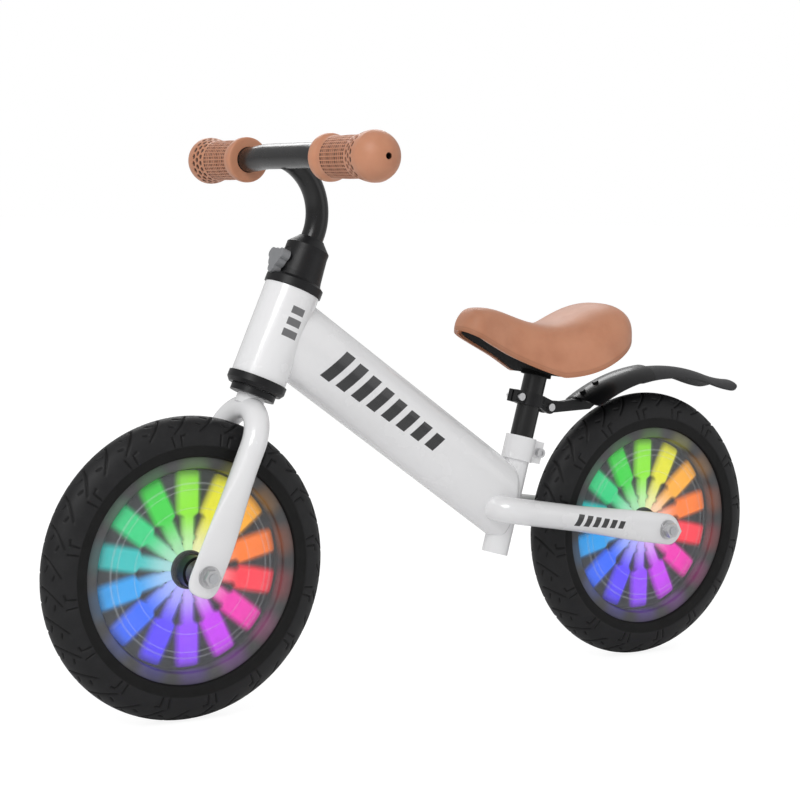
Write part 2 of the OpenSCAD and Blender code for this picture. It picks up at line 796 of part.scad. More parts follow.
// Bolt through the pan's socket and the top of the seat post.
module saddle_cross_bolt() {
    end = post_d / 2 + socket_wall;
    color([0.75, 0.75, 0.77]) on_seat_tube() translate([0, 0, cross_bolt_s]) {
        disc_y(cross_bolt_r, -end - 1, end + 1);
        disc_y(4.5, -end - 3, -end);
        disc_y(4.5, end, end + 3);
    }
}

// ---------------------------------------------------------------- mudguard

module guard_clamp() {
    band_r = post_d / 2 + 3;
    s0 = guard_clamp_s - guard_clamp_h / 2;
    color([0.06, 0.06, 0.06]) difference() {
        union() {
            on_seat_tube() translate([0, 0, s0]) {
                cylinder(r = band_r, h = guard_clamp_h);
                translate([-band_r - 9, -8, 0]) cube([12, 16, guard_clamp_h]);
            }
            both_sides() hull() {
                translate([guard_pivot[0], -4, guard_pivot[1]]) disc_y(7.5, -3.5, 0);
                on_seat_tube() translate([band_r - 3, -7.5, s0]) cube([2, 3.5, guard_clamp_h]);
            }
        }
        on_seat_tube() {
            translate([0, 0, s0 - 1]) cylinder(r = post_d / 2, h = guard_clamp_h + 2);
            translate([-band_r - 10, -1.5, s0 - 1]) cube([16, 3, guard_clamp_h + 2]);
            translate([-band_r - 4, 0, guard_clamp_s]) disc_y(2.6, -20, 20);
        }
        translate([guard_pivot[0], 0, guard_pivot[1]]) disc_y(pivot_r, -20, 20);
    }
}

module guard_clamp_screw() {
    band_r = post_d / 2 + 3;
    color([0.8, 0.8, 0.82]) on_seat_tube() translate([-band_r - 4, 0, guard_clamp_s]) {
        disc_y(2.5, -10, 10);
        disc_y(4.2, -11.5, -8);
        translate([0, 12, 0]) about_y() cylinder(r = 4.4, h = 4, $fn = 6);
    }
}

module guard_pivot_bolt() {
    color([0.8, 0.8, 0.82]) translate([guard_pivot[0], 0, guard_pivot[1]]) {
        disc_y(pivot_r, -9.5, 9.5);
        disc_y(4.2, -10.5, -7.5);
        translate([0, 11, 0]) about_y() cylinder(r = 4.4, h = 3.5, $fn = 6);
    }
}

// Frame whose origin is the centre of the blade's main arc.
module guard_frame() {
    translate([guard_centre[0], 0, guard_centre[1]]) children();
}

// Sweeps a section about y, from angle a0 to a1, 0 being straight up.
module guard_arc(a0, a1) {
    rotate([90, 0, 0]) rotate([0, 0, 90 - a1]) rotate_extrude(angle = a1 - a0) children();
}

// Radius of the blade's section for a strip of this width.
function arch_r(wide) = (wide * wide / 4 + guard_arch * guard_arch) / (2 * guard_arch);

// Arched strip, as radius against y, with its crown at the radius called outer.
module guard_section(outer, wide) {
    intersection() {
        difference() {
            translate([outer - arch_r(wide), 0]) circle(r = arch_r(wide));
            translate([outer - arch_r(wide), 0]) circle(r = arch_r(wide) - guard_t);
        }
        translate([outer - guard_arch, -wide / 2]) square([guard_arch + 1, wide]);
    }
}

// Places of the two screws through the front blade and the arm's tongue.
module at_guard_screws() {
    guard_frame() for (a = [guard_front_a + 3, guard_tongue_a - 3]) rotate([0, a, 0]) children();
}

// Side view of the arm's web, from the pivot to the underside of the blade. Its lower edge
// keeps clear of the tyre: each point is an angle at the rear axle and a height over the tyre.
module arm_web() {
    x0 = guard_pivot[0];
    z0 = guard_pivot[1];
    under = guard_r - guard_t - 1;
    lower = [[-30.3, 6.4], [-25.1, 7.9], [-21.9, 13.8]];
    linear_extrude(7.4) polygon(concat(
        [[x0, z0 - 7]],
        [for (q = lower) [rear_x + (wheel_r + q[1]) * sin(q[0]), wheel_r + (wheel_r + q[1]) * cos(q[0])]],
        [for (a = [guard_tongue_a : -1 : guard_front_a + 0.5])
            [guard_centre[0] + under * sin(a), guard_centre[1] + under * cos(a)]],
        [[x0 + 20, z0 + 5], [x0, z0 + 7]]));
}

// Arm from the clamp pivot to the underside of the front blade.
module guard_arm() {
    tongue_w = 18;
    tongue_t = 4;
    under_r = arch_r(guard_w) - guard_t;
    color([0.07, 0.07, 0.07]) difference() {
        union() {
            translate([guard_pivot[0], 0, guard_pivot[1]]) disc_y(7, -3.7, 3.7);
            translate([0, 3.7, 0]) rotate([90, 0, 0]) arm_web();
            guard_frame() guard_arc(guard_front_a, guard_tongue_a) intersection() {
                translate([guard_r - guard_t - under_r, 0]) circle(r = under_r);
                translate([guard_r - guard_t - tongue_t, -tongue_w / 2])
                    square([tongue_t + 1, tongue_w]);
            }
        }
        translate([guard_pivot[0], 0, guard_pivot[1]]) disc_y(pivot_r + run_fit, -10, 10);
        at_guard_screws() translate([0, 0, guard_r - 20]) cylinder(r = guard_screw_r, h = 30);
    }
}

// Front blade, fixed to the arm.
module guard_front_blade() {
    color([0.05, 0.05, 0.05]) difference() {
        guard_frame() guard_arc(guard_front_a, guard_lap_a) guard_section(guard_r, guard_w);
        at_guard_screws() translate([0, 0, guard_r - 20]) cylinder(r = guard_screw_r, h = 30);
    }
}

module guard_blade_screws() {
    color([0.7, 0.7, 0.72]) at_guard_screws() {
        translate([0, 0, guard_r - 12]) cylinder(r = guard_screw_r, h = 13);
        translate([0, 0, guard_r + 0.1]) cylinder(r = 3.6, h = 1.8);
    }
}

// One ring of the rear blade: crown point, direction of its top face, arched strip.
function tail_ring(crown, a, wide, n = 10) =
    let(r = arch_r(wide))
    [for (face = [0, 1]) for (k = [0 : n]) let(
        y = (face == 0 ? 1 : -1) * wide * (k / n - 0.5),
        h = sqrt(r * r - y * y) - r - face * guard_t)
        [crown[0] + h * sin(a), y, crown[1] + h * cos(a)]];

// Rear blade: slides under the front blade and flares out at its tip.
module guard_rear_blade() {
    r = guard_r - guard_t - rub_gap;
    wide = guard_w - 3;
    reach = r + guard_flare_r;
    main = 12;
    flare = 6;
    step = (guard_bend_a - guard_tail_a) / main;
    color([0.16, 0.16, 0.165]) guard_frame() skin(concat(
        [for (k = [0 : main]) let(a = guard_tail_a + step * k)
            tail_ring([r * sin(a), r * cos(a)], a, wide)],
        [for (k = [1 : flare]) let(a = guard_bend_a - guard_flare_a * k / flare)
            tail_ring([reach * sin(guard_bend_a) - guard_flare_r * sin(a),
                reach * cos(guard_bend_a) - guard_flare_r * cos(a)], a, wide)]));
}

// ---------------------------------------------------------------- assembly

head_tube();
down_tube();
seat_tube();
chain_stay();  // chain_stay_left
mirror([0, 1, 0]) chain_stay();  // chain_stay_right
lower_headset_cup();
upper_headset_cup();
seat_clamp();
seat_clamp_bolt();
at_axle(rear_x) axle();  // rear_axle
at_axle(rear_x) axle_nuts();  // rear_axle_nuts
at_axle(rear_x) axle_washers();  // rear_axle_washers
at_axle(rear_x) axle_spacers();  // rear_axle_spacers
at_axle(rear_x) magnet_ring();  // rear_magnet_ring
fork_steerer();
fork_blades();
fork_crown_race();
lower_head_bearing();
upper_head_bearing();
at_axle(front_x) axle();  // front_axle
at_axle(front_x) axle_nuts();  // front_axle_nuts
at_axle(front_x) axle_washers();  // front_axle_washers
at_axle(front_x) axle_spacers();  // front_axle_spacers
at_axle(front_x) magnet_ring();  // front_magnet_ring
at_axle(front_x) tyre();  // front_tyre
at_axle(front_x) rim();  // front_rim
at_axle(front_x) hub();  // front_hub
at_axle(front_x) bearings();  // front_bearings
at_axle(front_x) light_guides();  // front_light_guides
at_axle(front_x) led_boards();  // front_led_boards
at_axle(front_x) cover();  // front_cover_left
at_axle(front_x) mirror([0, 1, 0]) cover();  // front_cover_right
at_axle(rear_x) tyre();  // rear_tyre
at_axle(rear_x) rim();  // rear_rim
at_axle(rear_x) hub();  // rear_hub
at_axle(rear_x) bearings();  // rear_bearings
at_axle(rear_x) light_guides();  // rear_light_guides
at_axle(rear_x) led_boards();  // rear_led_boards
at_axle(rear_x) cover();  // rear_cover_left
at_axle(rear_x) mirror([0, 1, 0]) cover();  // rear_cover_right
stem_collar();
collar_insert_nut();
knob_washer();
clamp_knob();
clamp_screw();
handlebar();
grip();  // grip_left
mirror([0, 1, 0]) grip();  // grip_right
seat_post();
saddle_pan();
saddle_shell();
saddle_cross_bolt();
guard_clamp();
guard_clamp_screw();
guard_arm();
guard_pivot_bolt();
guard_front_blade();
guard_blade_screws();
guard_rear_blade();
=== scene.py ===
# %% [markdown]
# # Balance bike: how its looks are made
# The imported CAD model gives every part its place. This script lays finer surfaces over the parts
# whose shape the eye notices, gives each part a material built from nodes, and sets up a studio.
# Lengths are in metres. Forward is -X, up is +Z, and the left side of the bike faces -Y.

# %% Load the frame
import json
import math
import bmesh
import bpy
import numpy as np
from mathutils import Matrix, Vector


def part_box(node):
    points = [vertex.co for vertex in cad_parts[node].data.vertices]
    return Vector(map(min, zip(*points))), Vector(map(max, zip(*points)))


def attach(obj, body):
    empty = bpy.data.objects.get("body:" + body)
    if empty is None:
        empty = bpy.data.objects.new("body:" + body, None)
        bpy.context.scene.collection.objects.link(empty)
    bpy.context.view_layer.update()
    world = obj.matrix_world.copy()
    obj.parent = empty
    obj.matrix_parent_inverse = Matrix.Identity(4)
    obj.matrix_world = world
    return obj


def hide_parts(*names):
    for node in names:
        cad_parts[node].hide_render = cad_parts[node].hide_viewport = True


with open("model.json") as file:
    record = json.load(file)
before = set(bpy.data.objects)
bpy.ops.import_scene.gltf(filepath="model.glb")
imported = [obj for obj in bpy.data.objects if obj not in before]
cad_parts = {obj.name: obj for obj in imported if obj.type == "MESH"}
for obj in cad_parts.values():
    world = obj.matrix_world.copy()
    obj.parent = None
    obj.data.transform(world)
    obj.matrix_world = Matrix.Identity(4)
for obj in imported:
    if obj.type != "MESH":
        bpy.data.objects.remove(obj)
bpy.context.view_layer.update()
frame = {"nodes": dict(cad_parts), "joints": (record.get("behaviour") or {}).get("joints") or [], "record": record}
mm = 0.001
print("CAD nodes:", len(frame["nodes"]))

# %% [markdown]
# ## Where things are
# The record's joints hold the exact axes, so the wheel centres, the steering axis, the seat tube's
# direction and the mudguard joint's place are read from them. The rest follows from the nodes' boxes.

# %% Axes and centres
joints = {j["name"]: j for j in frame["joints"]}
front_hub = np.array(joints["front_wheel_spin"]["pos_m"])
rear_hub = np.array(joints["rear_wheel_spin"]["pos_m"])
steer_up = np.array(joints["steering"]["axis"])
seat_up = np.array(joints["saddle_height"]["axis"])
guard_at = np.array(joints["mudguard_extension"]["pos_m"])
side = np.array([0.0, 1.0, 0.0])
low, high = (np.array(c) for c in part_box("front_tyre"))
wheel_r = (high[2] - low[2]) / 2
tyre_half_w = (high[1] - low[1]) / 2
wheels = (("front", front_hub), ("rear", rear_hub))
steer_fore = np.array([steer_up[2], 0.0, -steer_up[0]])
print("wheel radius", round(wheel_r, 4))

# %% [markdown]
# ## Building surfaces
# Every new piece is a grid of points worked out with numpy: a function of two parameters, or an
# outline carried along a path. `grid_piece` turns such a grid into a mesh with its own UV map. The
# same shapes could be pushed about by hand, but a formula keeps every size in sight and gives the
# same mesh each run.

# %% Grid to mesh
def grid_piece(name, points, wrap_u=False, wrap_v=False):
    """A smooth mesh from an array of points, rows along u and columns along v.
    A wrapped direction joins its last row to its first. Repeated points at a pole are left for tidy_mesh to merge."""
    rows, cols = points.shape[:2]
    index = np.arange(rows * cols).reshape(rows, cols)
    if wrap_u:
        index = np.vstack([index, index[:1]])
    if wrap_v:
        index = np.hstack([index, index[:, :1]])
    quads = np.stack([index[:-1, :-1], index[1:, :-1], index[1:, 1:], index[:-1, 1:]], -1)
    mesh = bpy.data.meshes.new(name)
    mesh.from_pydata(points.reshape(-1, 3).tolist(), [], quads.reshape(-1, 4).tolist())
    u, v = np.meshgrid(np.arange(index.shape[0]), np.arange(index.shape[1]), indexing="ij")
    uv = np.stack([u / (index.shape[0] - 1), v / (index.shape[1] - 1)], -1)
    corners = np.stack([uv[:-1, :-1], uv[1:, :-1], uv[1:, 1:], uv[:-1, 1:]], 2)
    mesh.uv_layers.new(name="UVMap").data.foreach_set("uv", corners.astype(np.float32).ravel())
    mesh.polygons.foreach_set("use_smooth", np.ones(len(mesh.polygons), bool))
    obj = bpy.data.objects.new(name, mesh)
    bpy.context.scene.collection.objects.link(obj)
    return obj


print("grid helper ready")

# %% [markdown]
# ## Welding, and values stored on points
# Where a grid closes on itself or ends in a pole, several points share one place. They are welded,
# and then every face is turned outward, so that a wall or a bevel can be added safely. A value
# stored on each point, such as the depth of a groove, tells the material about the shape.

# %% Weld and store
def tidy_mesh(obj, weld=1e-6):
    """Merges points that meet and turns every face outward."""
    b = bmesh.new()
    b.from_mesh(obj.data)
    bmesh.ops.remove_doubles(b, verts=b.verts, dist=weld)
    bmesh.ops.recalc_face_normals(b, faces=b.faces)
    b.to_mesh(obj.data)
    b.free()
    return obj


def paint_values(obj, name, values):
    """Stores one number a point, for the material to read. Call it before tidy_mesh."""
    layer = obj.data.attributes.new(name, "FLOAT", "POINT")
    layer.data.foreach_set("value", values.astype(np.float32).ravel())


print("mesh helpers ready")

# %% [markdown]
# ## Materials from nodes
# A material is a graph of nodes. Wiring it node by node hides the idea in long lists, so `Val`
# wraps one shader value and ordinary arithmetic on it adds the maths nodes.

# %% Values that do arithmetic
class Val:
    """A shader value that can be added, multiplied and compared like a number."""

    def __init__(self, look, socket):
        self.look, self.socket = look, socket

    def math(self, operation, *inputs):
        """Adds one Math node with this operation and these inputs."""
        node = self.look.tree.nodes.new("ShaderNodeMath")
        node.operation = operation
        for slot, value in zip(node.inputs, inputs):
            self.look.feed(slot, value)
        return Val(self.look, node.outputs[0])

    def __add__(self, other): return self.math("ADD", self, other)
    def __radd__(self, other): return self.math("ADD", other, self)
    def __sub__(self, other): return self.math("SUBTRACT", self, other)
    def __rsub__(self, other): return self.math("SUBTRACT", other, self)
    def __mul__(self, other): return self.math("MULTIPLY", self, other)
    def __rmul__(self, other): return self.math("MULTIPLY", other, self)
    def __truediv__(self, other): return self.math("DIVIDE", self, other)
    def __rtruediv__(self, other): return self.math("DIVIDE", other, self)
    def __pow__(self, other): return self.math("POWER", self, other)
    def __abs__(self): return self.math("ABSOLUTE", self)
    def floor(self): return self.math("FLOOR", self)
    def fract(self): return self.math("FRACT", self)
    def atan2(self, other): return self.math("ARCTAN2", self, other)
    def least(self, other): return self.math("MINIMUM", self, other)
    def most(self, other): return self.math("MAXIMUM", self, other)

    def ramp(self, start, end):
        """0 below start and 1 above end, eased between them; end may lie below start."""
        node = self.look.tree.nodes.new("ShaderNodeMapRange")
        node.interpolation_type = "SMOOTHSTEP"
        for slot, value in zip(("Value", "From Min", "From Max"), (self, start, end)):
            self.look.feed(node.inputs[slot], value)
        return Val(self.look, node.outputs["Result"])


print("value class ready")

# %% [markdown]
# ## One material
# `Look` is a material around one Principled BSDF. Colour, roughness and bump vary from place to
# place and are fed by nodes. Every other value is the same all over, so it is set on the shader's
# own socket. Patterns are placed by the object's own coordinates.

# %% The material class
class Look:
    """One material: a Principled BSDF whose named inputs are set once or fed by nodes."""

    def __init__(self, name, **uniform):
        self.material = bpy.data.materials.new(name)
        self.material.use_nodes = True
        self.tree = self.material.node_tree
        self.bsdf = self.tree.nodes["Principled BSDF"]
        self.set(**uniform)

    def feed(self, slot, value):
        """Links a shader value to a socket, or sets the socket to a plain number or colour."""
        if isinstance(value, Val):
            self.tree.links.new(value.socket, slot)
        else:
            slot.default_value = value

    def set(self, **inputs):
        """Feeds the shader's inputs by name, with _ for each space."""
        for key, value in inputs.items():
            self.feed(self.bsdf.inputs[key.replace("_", " ")], value)
        return self

    def node(self, kind, settings, inputs, output):
        """Adds any node: its settings, the values of its sockets, and which output is wanted."""
        node = self.tree.nodes.new(kind)
        for key, value in settings.items():
            setattr(node, key, value)
        for key, value in inputs.items():
            self.feed(node.inputs[key], value)
        return Val(self, node.outputs[output])

    def place(self):
        """The point's own place on the object, in metres."""
        return self.node("ShaderNodeTexCoord", {}, {}, "Object")

    def axes(self, origin=(0, 0, 0)):
        """The object's x, y and z, each counted from the origin given."""
        node = self.tree.nodes.new("ShaderNodeSeparateXYZ")
        self.feed(node.inputs[0], self.place())
        return [Val(self, node.outputs[k]) - float(origin[k]) for k in range(3)]

    def stored(self, name):
        """A value that paint_values put on the mesh."""
        return self.node("ShaderNodeAttribute", {"attribute_name": name}, {}, "Fac")

    def noise(self, scale, detail=3.0, rough=0.55, stretch=None):
        """Cloudy noise from 0 to 1, scale features a metre; stretch multiplies each axis."""
        where = self.place()
        if stretch is not None:
            where = self.node("ShaderNodeVectorMath", {"operation": "MULTIPLY"},
                              {0: where, 1: stretch}, "Vector")
        return self.node("ShaderNodeTexNoise", {},
                         {"Vector": where, "Scale": scale, "Detail": detail, "Roughness": rough},
                         "Fac")

    def cells(self, scale):
        """Distance to the middle of the nearest cell, scale cells a metre."""
        return self.node("ShaderNodeTexVoronoi", {}, {"Vector": self.place(), "Scale": scale},
                         "Distance")

    def mix(self, share, first, second):
        """A colour between two: the first where share is 0 and the second where it is 1."""
        node = self.tree.nodes.new("ShaderNodeMix")
        node.data_type = "RGBA"
        self.feed(node.inputs[0], share)
        for slot, colour in ((node.inputs[6], first), (node.inputs[7], second)):
            self.feed(slot, colour if isinstance(colour, Val) else (*colour, 1.0))
        return Val(self, node.outputs[2])

    def colour_so_far(self):
        """The colour already fed to the shader, so that a mark can be laid over it."""
        return Val(self, self.bsdf.inputs["Base Color"].links[0].from_socket)

    def bump(self, height, strength, distance):
        """Tilts the normal as if the surface rose by the height given, distance in metres."""
        self.set(Normal=self.node("ShaderNodeBump", {}, {"Height": height, "Strength": strength,
                                                         "Distance": distance}, "Normal"))
        return self

    def blend(self, share, first, second):
        """Sends the surface a mix of two shaders: share 0 is the first and 1 the second."""
        node = self.tree.nodes.new("ShaderNodeMixShader")
        self.feed(node.inputs[0], share)
        self.tree.links.new(first, node.inputs[1])
        self.tree.links.new(second, node.inputs[2])
        self.tree.links.new(node.outputs[0], self.tree.nodes["Material Output"].inputs["Surface"])
        return self


print("material class ready")

# %% [markdown]
# ## Enamel
# Sprayed paint has a faint orange-peel skin under a clear coat, and dust dulls it in patches. A
# flat white would do from far off, but close up it is the uneven gloss that looks like paint.

# %% Enamel
WHITE = (0.90, 0.90, 0.91)


def enamel(name, colour, rough, coat):
    """Sprayed paint: soft waves in its skin, a little dust dulling it in patches."""
    look = Look(name, Coat_Weight=coat, Coat_Roughness=0.06, Specular_IOR_Level=0.5)
    dust = look.noise(22, 4)
    tone = look.noise(6, 2)
    darker = tuple(0.94 * c for c in colour)
    look.set(Base_Color=look.mix(tone.ramp(0.35, 0.75), colour, darker),
             Roughness=rough + 0.10 * dust.ramp(0.4, 0.8))
    return look.bump(look.noise(650, 2) + 0.4 * look.noise(140, 2), 0.05, 0.0004)


print("white enamel", WHITE)

# %% [markdown]
# ## Moulded plastic
# The mould's spark-eroded steel leaves a fine grain of tiny cells, and handling rubs it paler and
# smoother in patches. The grain is far too fine for geometry, so it is a bump.

# %% Moulded plastic
def moulded(name, colour, rough, grain=2600, depth=0.15, worn=1.6):
    """Injection-moulded plastic: fine grain, paler where it has been rubbed."""
    look = Look(name, Specular_IOR_Level=0.28)
    rubbed = look.noise(48, 5).ramp(0.52, 0.85)
    paler = tuple(min(1.0, worn * c + 0.004) for c in colour)
    look.set(Base_Color=look.mix(0.6 * rubbed, colour, paler),
             Roughness=rough - 0.12 * rubbed + 0.08 * look.noise(160, 3))
    return look.bump(look.cells(grain) + 0.5 * look.noise(grain * 0.5, 2), depth, 0.00015)


print("moulded plastic ready")

# %% [markdown]
# ## Soft tan skin
# The saddle and grips are a soft moulding with a silky sheen. A little light goes under the
# surface, which keeps the tan warm where it turns away from the lamp.

# %% Soft skin
TAN = (0.60, 0.272, 0.158)


def soft_skin(name, colour):
    """Soft tan moulding: warm mottling, fine pores and a silky sheen."""
    look = Look(name, Specular_IOR_Level=0.4, Sheen_Weight=0.12, Sheen_Roughness=0.4,
                Subsurface_Weight=0.05, Subsurface_Scale=0.003)
    mottle = look.noise(30, 4)
    deep = tuple(c * k for c, k in zip(colour, (0.86, 0.80, 0.76)))
    look.set(Base_Color=look.mix(mottle.ramp(0.35, 0.8), colour, deep),
             Roughness=0.40 + 0.12 * look.noise(90, 3))
    return look.bump(look.cells(1500) + 0.6 * look.noise(900, 3), 0.12, 0.0002)


print("tan skin", TAN)

# %% [markdown]
# ## Metal
# Nuts, washers and axles show fine marks along the way the tool went, and dull spots in the
# plating. One noise, stretched along the marks, gives both the streaks and their bump.

# %% Metal
def metal(name, colour, rough, streak=(1, 1, 1)):
    """Plated or turned metal with fine tool marks and dulled spots."""
    look = Look(name, Metallic=1.0)
    marks = look.noise(900, 3, stretch=streak)
    spots = look.noise(70, 4).ramp(0.55, 0.8)
    dull = tuple(0.62 * c for c in colour)
    look.set(Base_Color=look.mix(0.5 * spots, colour, dull),
             Roughness=rough + 0.16 * marks + 0.1 * spots)
    return look.bump(marks, 0.10, 0.0001)


print("finishes ready")

# %% [markdown]
# ## Stripes on the frame
# Slanted bars, darker than the paint, run along the side of a tube like a printed transfer. They
# could be thin raised shapes, but a print has no thickness, so they are drawn in the material. A
# point's place along the tube and its height on it come from two dot products with the tube's own
# directions.

# %% Striped enamel
def striped(name, origin, along, above, start, count, pitch, tall, slant,
            colour=(0.02, 0.02, 0.022)):
    """White enamel with a row of slanted bars. start, pitch and tall are lengths on the tube."""
    look = enamel(name, WHITE, 0.22, 0.55)
    x, y, z = look.axes(origin)
    a = x * float(along[0]) + y * float(along[1]) + z * float(along[2])
    b = x * float(above[0]) + y * float(above[1]) + z * float(above[2])
    step = (a - b * slant - start) / pitch
    bar = abs(step.fract() - 0.5).ramp(0.33, 0.30)
    inside = (step.ramp(-0.01, 0.01)) * (step.ramp(count + 0.01, count - 0.01))
    shrink = tall / 2 * (1 - 0.07 * step.floor())
    band = (shrink - abs(b)).ramp(0.0, 0.0004)
    flank = abs(y).ramp(0.0035, 0.0045)
    mark = bar * inside * band * flank
    look.set(Base_Color=look.mix(mark, look.colour_so_far(), colour))
    return look


print("striped enamel ready")

# %% [markdown]
# ## Putting a piece on the bike
# Each piece rides on a CAD body and stands for the nodes it replaces. A
# Solidify modifier gives an open sheet its wall, and a narrow bevel rounds hard edges, because a
# perfectly sharp edge never catches the light.

# %% Place, thicken and round
def fit(obj, look, body, slot, *stands_for):
    """Gives a piece its finish, the body it rides on and the nodes it stands for. The slot argument is not used.
    """
    obj.data.materials.clear()
    obj.data.materials.append(look.material)
    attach(obj, body)
    if stands_for:
        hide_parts(*stands_for)
    return obj


def thicken(obj, depth):
    """Gives a sheet its thickness, laid on its inner side."""
    mod = obj.modifiers.new("thickness", "SOLIDIFY")
    mod.thickness, mod.offset = depth, -1.0
    return obj


def round_edges(obj, width, segments=2):
    """A narrow bevel on hard edges, so that they catch the light."""
    mod = obj.modifiers.new("rounding", "BEVEL")
    mod.width, mod.segments, mod.limit_method = width, segments, "ANGLE"
    mod.angle_limit = math.radians(35)
    mod.harden_normals = True
    return obj


print("placing helpers ready")

# %% [markdown]
# ## Cuts in the rubber
# The tread could be a bump in the material, but its cuts show on the tyre's outline, so they are
# cut into the mesh. Every cut is the same soft-sided groove, and a short one is a groove that
# follows a straight line on the flattened tread.

# %% One cut
def ease(x):
    """Smooth step from 0 to 1: 3 x squared minus 2 x cubed, held at the ends."""
    x = np.clip(x, 0, 1)
    return x * x * (3 - 2 * x)


def groove(distance, width):
    """Depth profile of a cut: 1 at its middle, falling smoothly to 0 at half its width."""
    return ease(1 - np.abs(distance) / (width / 2))


def dash(u, v, u0, v0, u1, v1, width):
    """A straight cut from (u0, v0) to (u1, v1) on the flattened tread, all in mm."""
    du, dv = u1 - u0, v1 - v0
    t = np.clip(((u - u0) * du + (v - v0) * dv) / (du * du + dv * dv), 0, 1)
    return groove(np.hypot(u - u0 - t * du, v - v0 - t * dv), width)


print("depth halfway to the edge of a cut", float(groove(0.5, 2.0)))

# %% [markdown]
# ## The tread
# One repeat has a long groove curving from the crown to the shoulder with two short ticks beside
# it. Every second shoulder block has a hooked slot, and the others a plain one. The right half is
# moved on by half a repeat. The neighbours on both sides are looked at too, so that a cut may cross
# from one repeat into the next.

# %% Tread pattern
REPEATS = 32
SHOULDER = 38.5


def tread_depth(turn, across, pitch):
    """Depth of the tread pattern from 0 to 1. turn counts pitches around the tyre and across is
    the distance from the crown along the section in mm, negative on the left side."""
    mirror_step = np.where(across < 0, 0.0, 0.5)
    side_way = np.abs(across)
    depth = np.zeros(np.broadcast(turn, across).shape)
    for shift in (-1.0, 0.0, 1.0):
        u = ((turn + mirror_step) % 1 + shift) * pitch
        sweep_line = 3 + 21 * (side_way / 24) ** 1.7
        long_cut = groove((u - sweep_line) * 0.74, 2.5)
        long_cut = long_cut * ease((side_way - 1.0) / 1.5) * ease((25 - side_way) / 2)
        ticks = np.maximum(dash(u, side_way, 12, 8.5, 17.5, 6.5, 2.3),
                           dash(u, side_way, 21, 16.5, 26, 15, 2.3))
        depth = np.maximum(depth, np.maximum(long_cut, ticks))
    for shift in (-1.0, 0.0, 1.0):
        u = (((turn + mirror_step) / 2) % 1 + shift) * 2 * pitch
        hooked = np.maximum(dash(u, side_way, 17, 27, 18, 36.5, 3.0),
                            dash(u, side_way, 17, 27, 11.5, 26, 3.0))
        plain = dash(u, side_way, 27.5, 26.5, 27, 36.5, 3.0)
        depth = np.maximum(depth, np.maximum(hooked, plain))
    return depth


print("one repeat", round(2 * math.pi * wheel_r / mm / REPEATS, 1), "mm")

# %% [markdown]
# ## The tyre's surface
# The section is an ellipse over a flat seat, carried around the wheel. The relief is a depth at
# each point, taken off along the ellipse's normal. Past the shoulder the side wall lies a little
# lower than the tread and stays smooth.

# %% Tyre surface
CUT, STEP = 2.1 * mm, 0.9 * mm
SEAT_POINTS = 8


def tyre(name, hub):
    """Section points times steps around the wheel, each moved in along the normal by its depth.
    The ellipse is y = half width x sin(phi), r = centre + crown x cos(phi)."""
    around, columns = REPEATS * 26, 96
    half_w = tyre_half_w
    seat = float((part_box("front_rim")[1].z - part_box("front_rim")[0].z) / 2)
    crown = wheel_r - seat - 8 * mm
    centre_r = wheel_r - crown
    phi = np.radians(np.linspace(-104, 104, columns - SEAT_POINTS))
    y, r = half_w * np.sin(phi), centre_r + crown * np.cos(phi)
    run = np.concatenate([[0], np.cumsum(np.hypot(np.diff(y), np.diff(r)))]) / mm
    across = run - run[-1] / 2
    bead_y = np.array([20.3, 18.6, 17.6, 15.0]) * mm
    bead_r = seat + np.array([0.5, -0.1, -0.4, -0.4]) * mm
    y = np.concatenate([y, bead_y, -bead_y[::-1]])
    r = np.concatenate([r, bead_r, bead_r[::-1]])
    across = np.concatenate([across, np.full(SEAT_POINTS, 60.0)])
    normal = np.concatenate([np.stack([np.sin(phi) / half_w, np.cos(phi) / crown], -1),
                             np.zeros((SEAT_POINTS, 2))])
    normal /= np.maximum(np.linalg.norm(normal, axis=1, keepdims=True), 1e-9)
    turn = np.arange(around)[:, None] / around * REPEATS
    depth = tread_depth(turn, across[None], 2 * math.pi * wheel_r / mm / REPEATS)
    shoulder = ease((SHOULDER - np.abs(across)) / 1.2) * ease((60 - np.abs(across)) / 5)
    cut = CUT * depth + STEP * (1 - shoulder) * (np.abs(across) < 59)
    yy, rr = y - cut * normal[:, 0], r - cut * normal[:, 1]
    angle = 2 * np.pi * np.arange(around)[:, None] / around
    points = np.stack([hub[0] + rr * np.cos(angle), hub[1] + yy, hub[2] + rr * np.sin(angle)], -1)
    obj = grid_piece(name, points, True, True)
    paint_values(obj, "groove", depth)
    paint_values(obj, "wall", np.broadcast_to(1 - shoulder, depth.shape))
    return tidy_mesh(obj)


print("cut", CUT, "side wall step", STEP)

# %% [markdown]
# ## Tyre rubber
# New rubber is near black. The tread is a shade paler where it has been scuffed, the side wall is
# darker and duller, and almost no light comes back out of the cuts. The values stored on the mesh
# tell the three apart.

# %% Tyre rubber
rubber = Look("tyre rubber", Specular_IOR_Level=0.28)
cut_in, wall = rubber.stored("groove"), rubber.stored("wall")
scuff = rubber.noise(60, 5).ramp(0.35, 0.8)
tread_tone = rubber.mix(scuff, (0.012, 0.012, 0.013), (0.019, 0.019, 0.020))
tone = rubber.mix(wall, tread_tone, (0.004, 0.004, 0.004))
rubber.set(Base_Color=rubber.mix(cut_in, tone, (0.0015, 0.0015, 0.0015)),
           Roughness=0.50 + 0.12 * wall + 0.12 * scuff)
rubber.bump(rubber.noise(1500, 3) + 0.7 * rubber.cells(2200), 0.16, 0.0002)
for which, hub in wheels:
    fit(tyre(f"{which}_tyre_tread", hub), rubber, f"{which}_wheel", "tyre_rubber",
        f"{which}_tyre")
print("tyres made")

# %% [markdown]
# ## The beams of light
# LEDs at the hub shine out through clear guides, one beam each, every beam in its own hue. Fourteen
# lamps could light the wheel for real, but they would be slow and would stain the frame. The beams
# glow in the material instead, placed by the distance from the axle and the angle around it.

